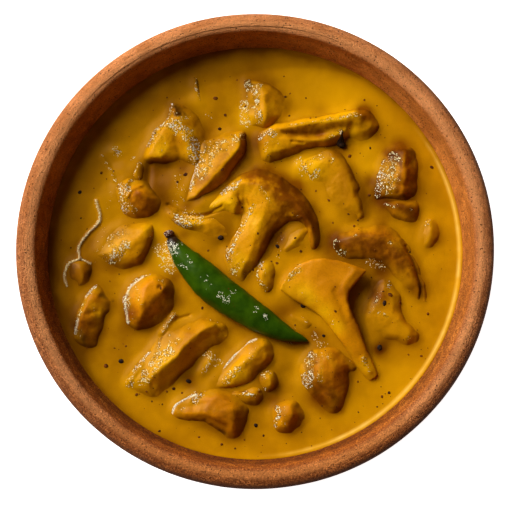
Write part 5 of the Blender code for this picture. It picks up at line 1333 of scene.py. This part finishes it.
PAINTED_LIGHTS = [  # (x, y, share, radius) of painted light: the places where sauce and flesh are painted paler
    (30, 56, 0.9, 15), (44, 40, 0.4, 8), (14, 66, 0.4, 8), (50, -46, 0.5, 10), (17.4, 32, 0.9, 4),
    (-32, -1, 0.9, 4), (-21, 56.4, 0.7, 4), (-44, -46.4, 0.6, 4), (-4.4, 50.6, 0.8, 3),
    (37, -54, 0.4, 5), (-50, 38, 0.5, 3), (-23.4, 12.2, 1.2, 3.4), (-50.5, 2.1, 0.6, 2.8),
    (19.8, 30.9, 1.0, 4.4), (-23, 43.1, 0.7, 2.7), (-22.7, 37, 0.6, 2.7), (15.9, -12.6, 0.7, 4),
    (5.2, -4.3, 0.9, 2.7), (7.6, 51.2, 0.9, 3.4), (-15.9, -37.8, 0.6, 2.2), (39.5, 30.9, 0.5, 3.4),
    (13.8, 4.7, 0.6, 2.5), (50.9, -15.5, 0.8, 3.2), (51.3, 3.2, 0.6, 3), (49.5, -10.1, 0.6, 3),
    (-54.8, -21.2, 0.5, 2.9), (-5.9, -42.4, 0.9, 3.2), (-33.7, 37, 0.8, 3.2), (6.3, -43.9, 0.7, 2.5),
    (29.5, -54.6, 0.7, 4), (-4.1, -56.4, 0.6, 3.2), (-7.3, 36.3, 0.6, 3.2), (-3.4, 47.4, 0.6, 3.4),
    (40.6, -38.5, 1.0, 3), (-15.5, 18.3, 0.8, 3.4), (-9.6, 18.4, 0.9, 3.6), (-30.5, -38.5, 0.6, 4.4),
    (-27, -41, 0.6, 4), (-36.6, 9.4, 1.0, 3), (5.9, 35.2, 0.9, 3.4), (14.5, 29.1, 0.9, 3.6),
    (18, -15.5, 0.9, 3.2), (24, -20, 0.9, 3), (28.6, -25.6, 0.9, 2.8), (-54.8, -21.9, 0.5, 2.6),
    (0.4, 61, 0.3, 3), (-56.2, 17.6, 0.5, 4), (0, 11.5, 0.6, 4), (-5.9, -2.5, 0.6, 3.4),
]
SHADES = [  # (x, y, share, radius) of painted shade in the deepest hollows, and of skin that is browner
    (44, -14.4, 1.1, 4.2), (5.5, -51, 0.9, 3.8), (28, 7, 0.9, 4), (4, 30.8, 0.9, 4.2),
    (44, -33.8, 1.1, 3.2), (22.6, 44.0, 1.0, 2.6), (29, 37.8, 0.9, 4.0), (39, 52.8, 0.9, 3.4),
    (0, 42.2, 1.0, 3.8), (-23.4, -44, 0.9, 3.2), (-44.4, -21, 1.0, 3.2), (46, -4.7, 0.9, 4.4),
    (8.6, 5.4, 0.95, 3.2), (-12, -51, 0.55, 4.4), (28, 0.6, 0.7, 4), (-32, 19, 0.8, 3),
    (44.6, 11.2, 0.7, 3.4), (-25.4, 31.4, 0.75, 3.4), (-29.2, 52.4, 0.7, 3), (47.4, 37.6, 0.6, 3.8),
    (21, -49.6, 0.75, 4), (47.6, 17.6, 0.7, 4), (21, -28, 0.75, 2.6), (56.6, -11, 0.75, 3.8),
    (40.4, -1.8, 0.7, 4.2), (52.7, 39.4, 0.9, 4.4), (30.4, -13.6, 0.5, 3), (43.8, 21, 0.7, 4),
    (14.8, 25, 0.7, 3.4), (16.6, 12.8, 0.55, 3.2), (45, 43.4, 0.45, 4.6), (15, -17, 0.7, 4),
    (32, 29, 0.5, 3.8), (41, 27, 0.75, 3.4), (32.4, 22.6, 0.45, 3.6), (-11.4, -60.4, 0.75, 3.8),
    (-17, -59.6, 0.55, 4), (-17.6, 44, 0.65, 4.2), (0.6, -43, 0.55, 3.8), (-51, -3, 0.55, 3.8),
    (-28.6, -7.4, 0.55, 3.4), (-58, -4.4, 0.55, 4.2), (-25.4, 8, 0.6, 2.6), (1, 63, 0.5, 3.6),
    (-37, 31.4, 0.6, 4), (-35.4, 23.8, 0.6, 4.2), (0.6, -58.8, 0.4, 3.0), (-28, -16, 0.5, 4),
    (54.4, 21, 0.6, 3), (-63.6, -25, 0.95, 3.6), (-65, -6.6, 0.5, 4.2), (-13, -31, 0.5, 4.2),
    (9, -20, 0.55, 4), (-6.6, -24, 0.5, 4.4), (24.6, -8, 0.3, 4.6), (10, 27.8, 0.6, 4.2),
    (15.4, 23, 0.5, 4), (19.4, 16.6, 0.5, 3.6), (-1, 30.4, 0.6, 2.6), (34, 40, 0.4, 3),
    (13, 43.7, 0.8, 2.2), (18.2, 43.7, 1.0, 2.4), (39.6, 50.2, 0.75, 3.6), (-23.4, -27, 0.55, 3.6),
    (-18, -22.3, 0.4, 3), (-0.9, -31.6, 0.4, 3.4), (23, 52.4, 0.4, 3), (24.5, -51.8, 0.75, 4.2),
    (35.6, -5, 0.5, 4.4), (34.8, -35.2, 0.45, 2.8), (34.1, -24.1, 0.5, 3.2), (5.5, 61.5, 0.5, 3.2),
    (-24.5, 17.2, 0.65, 2.6), (48.4, 35.6, 0.4, 3.6), (-12.3, 36.7, 0.3, 3.2), (-20, 26.8, 0.65, 2.8),
    (-27.3, 41, 0.4, 2.8), (-27.4, -31.2, 0.35, 2.8),
]
SAUCE_GLINTS = [  # (line, half width, share) of the painted sparkles on the sauce's ridges
    (THREAD_LONG, 0.55, 1.0), (THREAD_LOWER, 0.55, 1.0), (THREAD_SIDE, 0.5, 0.9),
    ([(-55, 36), (-52, 31), (-50.6, 27)], 0.8, 0.6), ([(-29, -21), (-33.5, -27.5)], 0.8, 0.8),
    ([(-18.6, -41), (-14.4, -35.6)], 0.8, 0.8), ([(-28, 27), (-26, 21)], 2.4, 0.45),
    ([(21, -29), (24, -32)], 2.0, 0.6), ([(40, -2), (45, -4)], 1.8, 0.6),
    ([(-57, -2), (-52, 22)], 1.4, 0.35), ([(12, -30), (16, -26)], 1.6, 0.4),
    ([(-24, -30), (-13, -38)], 1.6, 0.7), ([(-33.6, 1.6), (-30, -3.4)], 3.0, 0.9),
    ([(-4.4, 55), (-3.8, 48)], 1.8, 0.8), ([(-50.5, 38.6), (-49, 36.4)], 1.5, 1.0),
    ([(-44.4, 35), (-43.6, 35.6)], 0.7, 0.8), ([(17, -22), (19, -25)], 0.9, 0.5),
    ([(-18.6, 52), (-16.4, 50)], 0.9, 0.5), ([(-25, 14), (-20, 13)], 2.0, 0.9),
    ([(15.6, 34), (17, 30.6)], 1.8, 0.6), ([(-31, 20), (-24, 16)], 1.2, 0.4),
    ([(8, -1), (9, 6)], 1.6, 0.35),
]
SAUCE_HIGHLIGHT_LINES = [  # the same, for the sauce's thin painted highlight lines
    (THREAD_LONG, 0.30, 0.55), (THREAD_LOWER, 0.30, 0.6), (THREAD_SIDE, 0.28, 0.4),
]

RAY_FROM = 0.08  # metres, over everything
DOWN = Vector((0, 0, -1))


def drop_on(tree, x, y):
    """The height where something dropped at a place in plan meets the surface, or None."""
    hit = tree.ray_cast(Vector((x * MM, y * MM, RAY_FROM)), DOWN)[0]
    return None if hit is None else hit.z / MM


def trees_of(objects):
    graph = bpy.context.evaluated_depsgraph_get()
    return [BVHTree.FromObject(o, graph) for o in objects]


def heights_over(pieces, xs, ys):
    """The height of the pieces over each point of a grid, from straight above; low where there is none."""
    found = np.full((len(xs), len(ys)), -9.0)
    for piece, tree in zip(pieces, trees_of(pieces)):
        points = points_of(piece.data)
        low, high = points.min(0), points.max(0)
        for i in np.nonzero((xs > low[0]) & (xs < high[0]))[0]:
            for j in np.nonzero((ys > low[1]) & (ys < high[1]))[0]:
                height = drop_on(tree, xs[i], ys[j])
                if height is not None:
                    found[i, j] = max(found[i, j], height - LEVEL)
    return found


def sample(field, xs, ys, xy):
    u = np.clip((xy[:, 0] - xs[0]) / (xs[1] - xs[0]), 0, len(xs) - 1.001)
    v = np.clip((xy[:, 1] - ys[0]) / (ys[1] - ys[0]), 0, len(ys) - 1.001)
    i, j = u.astype(int), v.astype(int)
    fu, fv = u - i, v - j
    low = field[i, j] * (1 - fu) + field[i + 1, j] * fu
    high = field[i, j + 1] * (1 - fu) + field[i + 1, j + 1] * fu
    return low * (1 - fv) + high * fv


def sauce_heights(xy, creep, xs, ys):
    """The sauce's height over its level at points in plan."""
    layout = xy - LAYOUT_AT
    high = 0.16 * flat_noise(xy, 16, 11, 2) + 0.10 * flat_noise(xy, 5, 13, 3)
    high += 0.8 * soft_spots(layout, HUMPS) + ridges(layout, WRINKLES)
    edge = inner_radius(LEVEL) - np.hypot(*xy.T)
    high = high * rise_to(edge, 1, 8) + 0.6 * np.exp(-np.maximum(edge, 0) / 1.2)
    return high + sample(creep, xs, ys, xy - DRAWN * LIGHT_FROM)


def from_wall(xy):
    """For points in plan: the distance from the bowl's axis and that from its wall at the level."""
    radius = np.maximum(np.hypot(*xy.T), 1.0)
    return radius, np.maximum(inner_radius(LEVEL) - radius, 0)


def painted_shadow_at(xy, covered, xs, ys):
    """How much painted shadow the sauce gets at points in plan."""
    layout = xy - LAYOUT_AT
    radius, edge = from_wall(xy)
    lee = (xy @ LIGHT_FROM) / radius
    # painted shadow: a narrow band along the wall, less where the sauce's edge faces the light; the rim's
    # broad shadow on the side the light comes from; the pieces' shadows on their side away from the light;
    # and the listed hollows
    wall = 0.95 * rise_to(lee, -0.8, 0.1) * (1 - 0.75 * rise_to(lee, 0.6, 0.95)) * np.exp(-edge / 1.7)
    far = 0.46 * rise_to(lee, 0.0, 0.5) * (1 - 0.4 * rise_to(lee, 0.85, 1.0)) * (1 - rise_to(edge, 10, 32))
    lee_side = sample(blurred(covered, 1.6, GRID_STEP), xs, ys, xy + 1.8 * LIGHT_FROM)
    near = 0.75 * lee_side + 0.10 * sample(blurred(covered, 2.2, GRID_STEP), xs, ys, xy)
    uneven = 1 + 0.35 * flat_noise(layout, 6, 55, 3)
    return (wall + far + near + 0.9 * soft_spots(layout, PAINTED_SHADOWS)) * uneven


def paint_sauce(sauce, covered, xs, ys):
    """Paints the sauce's painted shadow, painted shade, painted light, the painted highlight along the wall,
    its painted highlight lines and its painted sparkle places.
    """
    xy = points_of(sauce.data)[:, :2]
    layout = xy - LAYOUT_AT
    radius, edge = from_wall(xy)
    # painted shadow near the wall and behind the pieces
    paint(sauce, "painted_shadow", painted_shadow_at(xy, covered, xs, ys))
    # painted highlight lines
    paint(sauce, "highlight_line", near_lines(layout, SAUCE_HIGHLIGHT_LINES, soft=0.8))
    # painted highlight along the wall, where the sauce's edge faces the light
    line = np.exp(-(((edge - 1.0) / 0.5) ** 2)) * rise_to((xy @ WALL_HIGHLIGHT_FACING) / radius, 0.40, 0.85)
    # painted light from the listed places, and the painted highlight along the wall
    paint(sauce, "painted_light", soft_spots(layout, PAINTED_LIGHTS) + line)
    paint(sauce, "line", line * (0.75 + 0.45 * flat_noise(layout, 3, 59, 3)))
    paint(sauce, "shade", shade_at(layout))
    # painted sparkle places on the sauce
    paint(sauce, "glint", near_lines(layout, SAUCE_GLINTS, flat_noise(layout, 1.6, 57, 3), 0.8))


def round_sheet(count, reach):
    """A square grid of points drawn out to fill a circle, and the points of its border in order."""
    u = np.linspace(-1, 1, count + 1)
    a, b = (g.ravel() for g in np.meshgrid(u, u, indexing="ij"))
    wide = np.abs(a) > np.abs(b)
    big = np.where(wide, a, b)
    with np.errstate(divide="ignore", invalid="ignore"):
        angle = np.where(wide, math.pi / 4 * (b / a), math.pi / 2 - math.pi / 4 * (a / b))
    angle = np.where(big == 0, 0, angle)
    side = count + 1
    ring = [k * side for k in range(count)] + [count * side + k for k in range(count)]
    ring += [k * side + count for k in range(count, 0, -1)] + list(range(count, 0, -1))
    return reach * np.column_stack([big * np.cos(angle), big * np.sin(angle)]), ring


def skirt_under(top, ring):
    """The points and faces that close the sheet below, along the bowl's inside."""
    turn = np.arctan2(top[ring, 1], top[ring, 0])
    points, faces = [], []
    start, upper = len(top), ring
    for height in SKIRT_RINGS:
        wall = inner_radius(height) - SKIRT_GAP
        round_wall = [wall * np.cos(turn), wall * np.sin(turn), np.full(len(ring), height)]
        points.append(np.column_stack(round_wall))
        lower = list(range(start, start + len(ring)))
        for k in range(len(ring)):
            n = (k + 1) % len(ring)
            faces.append([upper[k], lower[k], lower[n], upper[n]])
        start, upper = start + len(ring), lower
    return np.vstack(points), faces + [upper[::-1]]


def build_sauce(pieces):
    """A fine sheet over the whole level, closed below along the bowl's inside."""
    xs = ys = np.arange(-GRID_HALF, GRID_HALF + GRID_STEP, GRID_STEP)
    found = heights_over(pieces, xs, ys)
    covered = blurred(rise_to(found, 0.2, 2.0), 0.8, GRID_STEP)
    film = np.interp(found, [-0.1, 0.2, 0.9, 1.8], [0.0, FILM, FILM, -UNDER])
    creep = blurred(np.clip(found, 0, WET) + film, CREEP, GRID_STEP)
    xy, ring = round_sheet(SHEET_CELLS, inner_radius(LEVEL + 0.8) + SHEET_INTO_WALL)
    top = np.column_stack([xy, LEVEL + sauce_heights(xy, creep, xs, ys)])
    i, j = np.meshgrid(np.arange(SHEET_CELLS), np.arange(SHEET_CELLS), indexing="ij")
    below, sides = skirt_under(top, ring)
    sauce = new_object("sauce", np.vstack([top, below]), cells(i, j, SHEET_CELLS + 1).tolist() + sides)
    face_outwards(sauce.data)
    paint_sauce(sauce, covered, xs, ys)
    # the sauce's painted shadow is painted on the low parts of each piece too
    for piece in pieces:
        points = points_of(piece.data)
        shadow_reach = 1 - rise_to(points[:, 2] - LEVEL, *SHADOW_ENDS)
        paint(piece, "painted_shadow", painted_shadow_at(points[:, :2], covered, xs, ys) * shadow_reach)
    return dress(sauce, sauce_finish(), "curry", "curry_sauce")


# Seeds and spice: (x, y, size)


SEEDS = [
    (-12.5, 6.6, 1.15), (24, -28.4, 0.8), (16.7, -17.7, 0.95), (43.8, -32.6, 1.2), (-23.7, -44.4, 1.15),
    (0, -59.9, 1.05), (-47.7, -37.3, 1.0), (-62.9, 23, 0.95), (45.5, -16.9, 1.1), (7.8, 3.5, 1.0),
]
SPECKS = [
    (-14.5, 57, 1.0), (-11, 51, 0.7), (-13, 46, 1.0), (-3.7, 54, 0.5), (10.5, 57.5, 0.6),
    (12, 50.7, 0.5), (19.5, 49.3, 0.5), (21.5, 49.8, 0.4), (12.3, 58.8, 0.4), (26, 20, 0.6),
    (21.5, 23.5, 0.5), (27.5, 12, 0.5), (35, 10.8, 0.6), (33, 15, 0.5), (39, 56.5, 0.5), (41, 39, 0.5),
    (33.5, 36, 0.8), (63, 32, 0.8), (47.5, -14, 0.9), (51, -16.5, 0.6), (61, -20.5, 0.7),
    (7.5, -2.5, 0.8), (5.5, -2, 0.5), (16, 1.8, 0.7), (14, 6.3, 0.6), (-17, 2, 0.5), (-19, -18.5, 0.6),
    (-55.3, 30, 0.7), (-25, 29.3, 1.0), (-28, 26.5, 0.6), (-53, -39, 1.0), (-50, -32.7, 0.5),
    (-46, -32, 0.5), (-42, -49, 0.8), (-38.5, -48, 0.6), (-29, -47, 0.7), (-31.5, -48, 0.5),
    (-26, -48.5, 0.6), (-33, -52.5, 0.4), (-34, -62, 0.6), (-20, -64, 0.6), (-12, -66.5, 0.7),
    (-7.3, -68, 0.5), (2.7, -63.5, 0.6), (-4, -65, 0.4), (44.5, -49.8, 0.7), (47, -48.5, 0.7),
    (58.5, -35.5, 0.6), (54, -35, 0.4), (-12, 30.5, 0.8), (8, 0.5, 0.5), (28, -20, 0.6), (40.5, 22, 0.7),
]
SPECK_RADIUS = 0.8  # share of the size
HUSK_AT = np.array([30.3, 40.6])
HUSK_HALF = [1.95, 1.9, 1.1]
HUSK_NECK, HUSK_LEAN, HUSK_DRAWN = 0.93, 0.8, 2.6  # how its tip is narrowed, moved aside and drawn out
HUSK_TIP = np.array([0.9, 3.06])  # where the tip rests, from the middle
HUSK_RAISED = 0.5
FINE_COUNT = 260  # grains of the finest spice
FINE_HALF, FINE_RADIUS = 72, 71  # they are drawn in a square, and kept where they lie in the circle


def height_at(tops, x, y):
    """How high the highest of the surfaces lies at a place in plan."""
    return max(h for h in (drop_on(t, x, y) for t in tops) if h is not None)


def speck_mesh(rng, radius, sides=10, rings=6):
    """One uneven, flattened grain."""
    grain = bmesh.new()
    bmesh.ops.create_uvsphere(grain, u_segments=sides, v_segments=rings, radius=1)
    points = np.array([v.co for v in grain.verts])
    faces = [[v.index for v in f.verts] for f in grain.faces]
    grain.free()
    stretch = radius * np.array([rng.uniform(0.8, 1.3), rng.uniform(0.75, 1.05), rng.uniform(0.25, 0.45)])
    points = points * (1 + 0.12 * noise(points, 0.8, int(rng.integers(900)), 2))[:, None] * stretch
    turn = rng.uniform(0, math.pi)
    spin = np.array([[math.cos(turn), -math.sin(turn), 0], [math.sin(turn), math.cos(turn), 0], [0, 0, 1]])
    return points @ spin.T, faces


def scatter(name, marks, seed, finish, tops):
    """Grains laid on whatever is highest under them, joined in one mesh."""
    rng = np.random.default_rng(seed)
    points, faces = [], []
    count = 0
    for x, y, size in marks:
        x, y = x + LAYOUT_AT[0], y + LAYOUT_AT[1]
        body, sides = speck_mesh(rng, SPECK_RADIUS * size)
        points.append(body + [x, y, height_at(tops, x, y)])
        faces += [[count + k for k in f] for f in sides]
        count += len(body)
    dress(new_object(name, np.vstack(points), faces), finish, "chilli_stalk")


def build_husk(finish, tops):
    """The black husk: a drop that points at the roll above it."""
    body, sides = speck_mesh(np.random.default_rng(9), 1.0, 18, 14)
    body = body / np.abs(body).max(0) * HUSK_HALF
    drawn = rise_to(body[:, 1], 0.0, 1.75)
    body[:, 0] = body[:, 0] * (1 - HUSK_NECK * drawn) + HUSK_LEAN * drawn
    body[:, 1] += HUSK_DRAWN * drawn
    x, y = HUSK_AT + LAYOUT_AT
    rest, tip = height_at(tops, x, y), height_at(tops, x + HUSK_TIP[0], y + HUSK_TIP[1])
    body += [x, y, rest + HUSK_RAISED]
    body[:, 2] += (tip - rest) * drawn
    dress(new_object("husk", body, sides), finish, "chilli_stalk")


def strewn(seed, count):
    """Places and sizes of the finest spice, drawn over the whole sauce."""
    rng = np.random.default_rng(seed)
    marks = []
    while len(marks) < count:
        x, y = rng.uniform(-FINE_HALF, FINE_HALF, 2)
        if math.hypot(x, y) < FINE_RADIUS:
            marks.append((x, y, rng.uniform(0.12, 0.32) * rng.choice([1, 1, 1.5])))
    return marks


def build_grains(tops):
    seed, spice = seed_finish(), spice_finish()
    scatter("seeds", SEEDS, 5, seed, tops)
    build_husk(seed, tops)
    scatter("spice_coarse", SPECKS, 6, spice, tops)
    scatter("spice_fine", strewn(7, FINE_COUNT), 8, spice, tops)


# Floor, light and camera


# In metres, degrees and watts; the lens and its sensor in millimetres
FLOOR_HALF, FLOOR_DROP = 3.0, 0.00002
KEY_RAISED = 34.0
KEY_AWAY, KEY_SIZE, KEY_POWER = 1.6, 1.5, 38
SPARK_SIZE, SPARK_POWER = 0.08, 5  # a small light in the same place, for crisp highlights
KEY_TONE = (1.0, 0.965, 0.91)
ROOM_TONE, ROOM_STRENGTH = (1.0, 0.62, 0.34), 0.050
AIM_AT = Vector((0, 0, 0.05))
CAMERA_AWAY = 0.620
CAMERA_TILT = math.radians(6.5)
TARGET_HEIGHT = 0.060
SENSOR, LENS = 36, 124.98
SHIFT = (0.00137, -0.01797)


def build_stage():
    half, low = FLOOR_HALF / MM, -FLOOR_DROP / MM
    corners = [(-half, -half, low), (half, -half, low), (half, half, low), (-half, half, low)]
    floor = new_object("floor", corners, [[0, 1, 2, 3]], smooth=False)
    n = Nodes("floor")
    n.set(Base_Color=(0.86, 0.86, 0.86), Roughness=0.9, Emission_Color=(1, 1, 1), Emission_Strength=1.0)
    floor.data.materials.append(n.material)


def area_light(name, place, size, power):
    data = bpy.data.lights.new(name, "AREA")
    data.shape = "DISK"
    data.size = size
    data.energy = power
    data.color = KEY_TONE
    light = add_object(name, data)
    light.location = place
    light.rotation_euler = (AIM_AT - Vector(place)).to_track_quat("-Z", "Y").to_euler()


def build_light():
    up = math.radians(KEY_RAISED)
    flat = LIGHT_FROM / np.hypot(*LIGHT_FROM)
    place = (*(flat * KEY_AWAY * math.cos(up)), KEY_AWAY * math.sin(up))
    area_light("key", place, KEY_SIZE, KEY_POWER)
    area_light("spark", place, SPARK_SIZE, SPARK_POWER)
    world = bpy.data.worlds.new("studio")
    world.use_nodes = True
    back = world.node_tree.nodes["Background"]
    back.inputs["Color"].default_value = (*ROOM_TONE, 1)
    back.inputs["Strength"].default_value = ROOM_STRENGTH
    bpy.context.scene.world = world


def build_camera():
    data = bpy.data.cameras.new("camera")
    data.sensor_width = SENSOR
    data.lens = LENS
    data.shift_x, data.shift_y = SHIFT
    camera = add_object("camera", data)
    back, up = CAMERA_AWAY * math.sin(CAMERA_TILT), CAMERA_AWAY * math.cos(CAMERA_TILT)
    camera.location = (0, -back, TARGET_HEIGHT + up)
    camera.rotation_euler = (CAMERA_TILT, 0, 0)
    bpy.context.scene.camera = camera
    view = bpy.context.scene.view_settings
    view.view_transform = "Standard"
    view.look = "None"


def main():
    build_camera()
    build_light()
    build_stage()
    build_bowl(clay_finish())
    pieces = build_pieces() + build_chilli()
    sauce = build_sauce(pieces)
    build_grains(trees_of(pieces + [sauce]))


main()
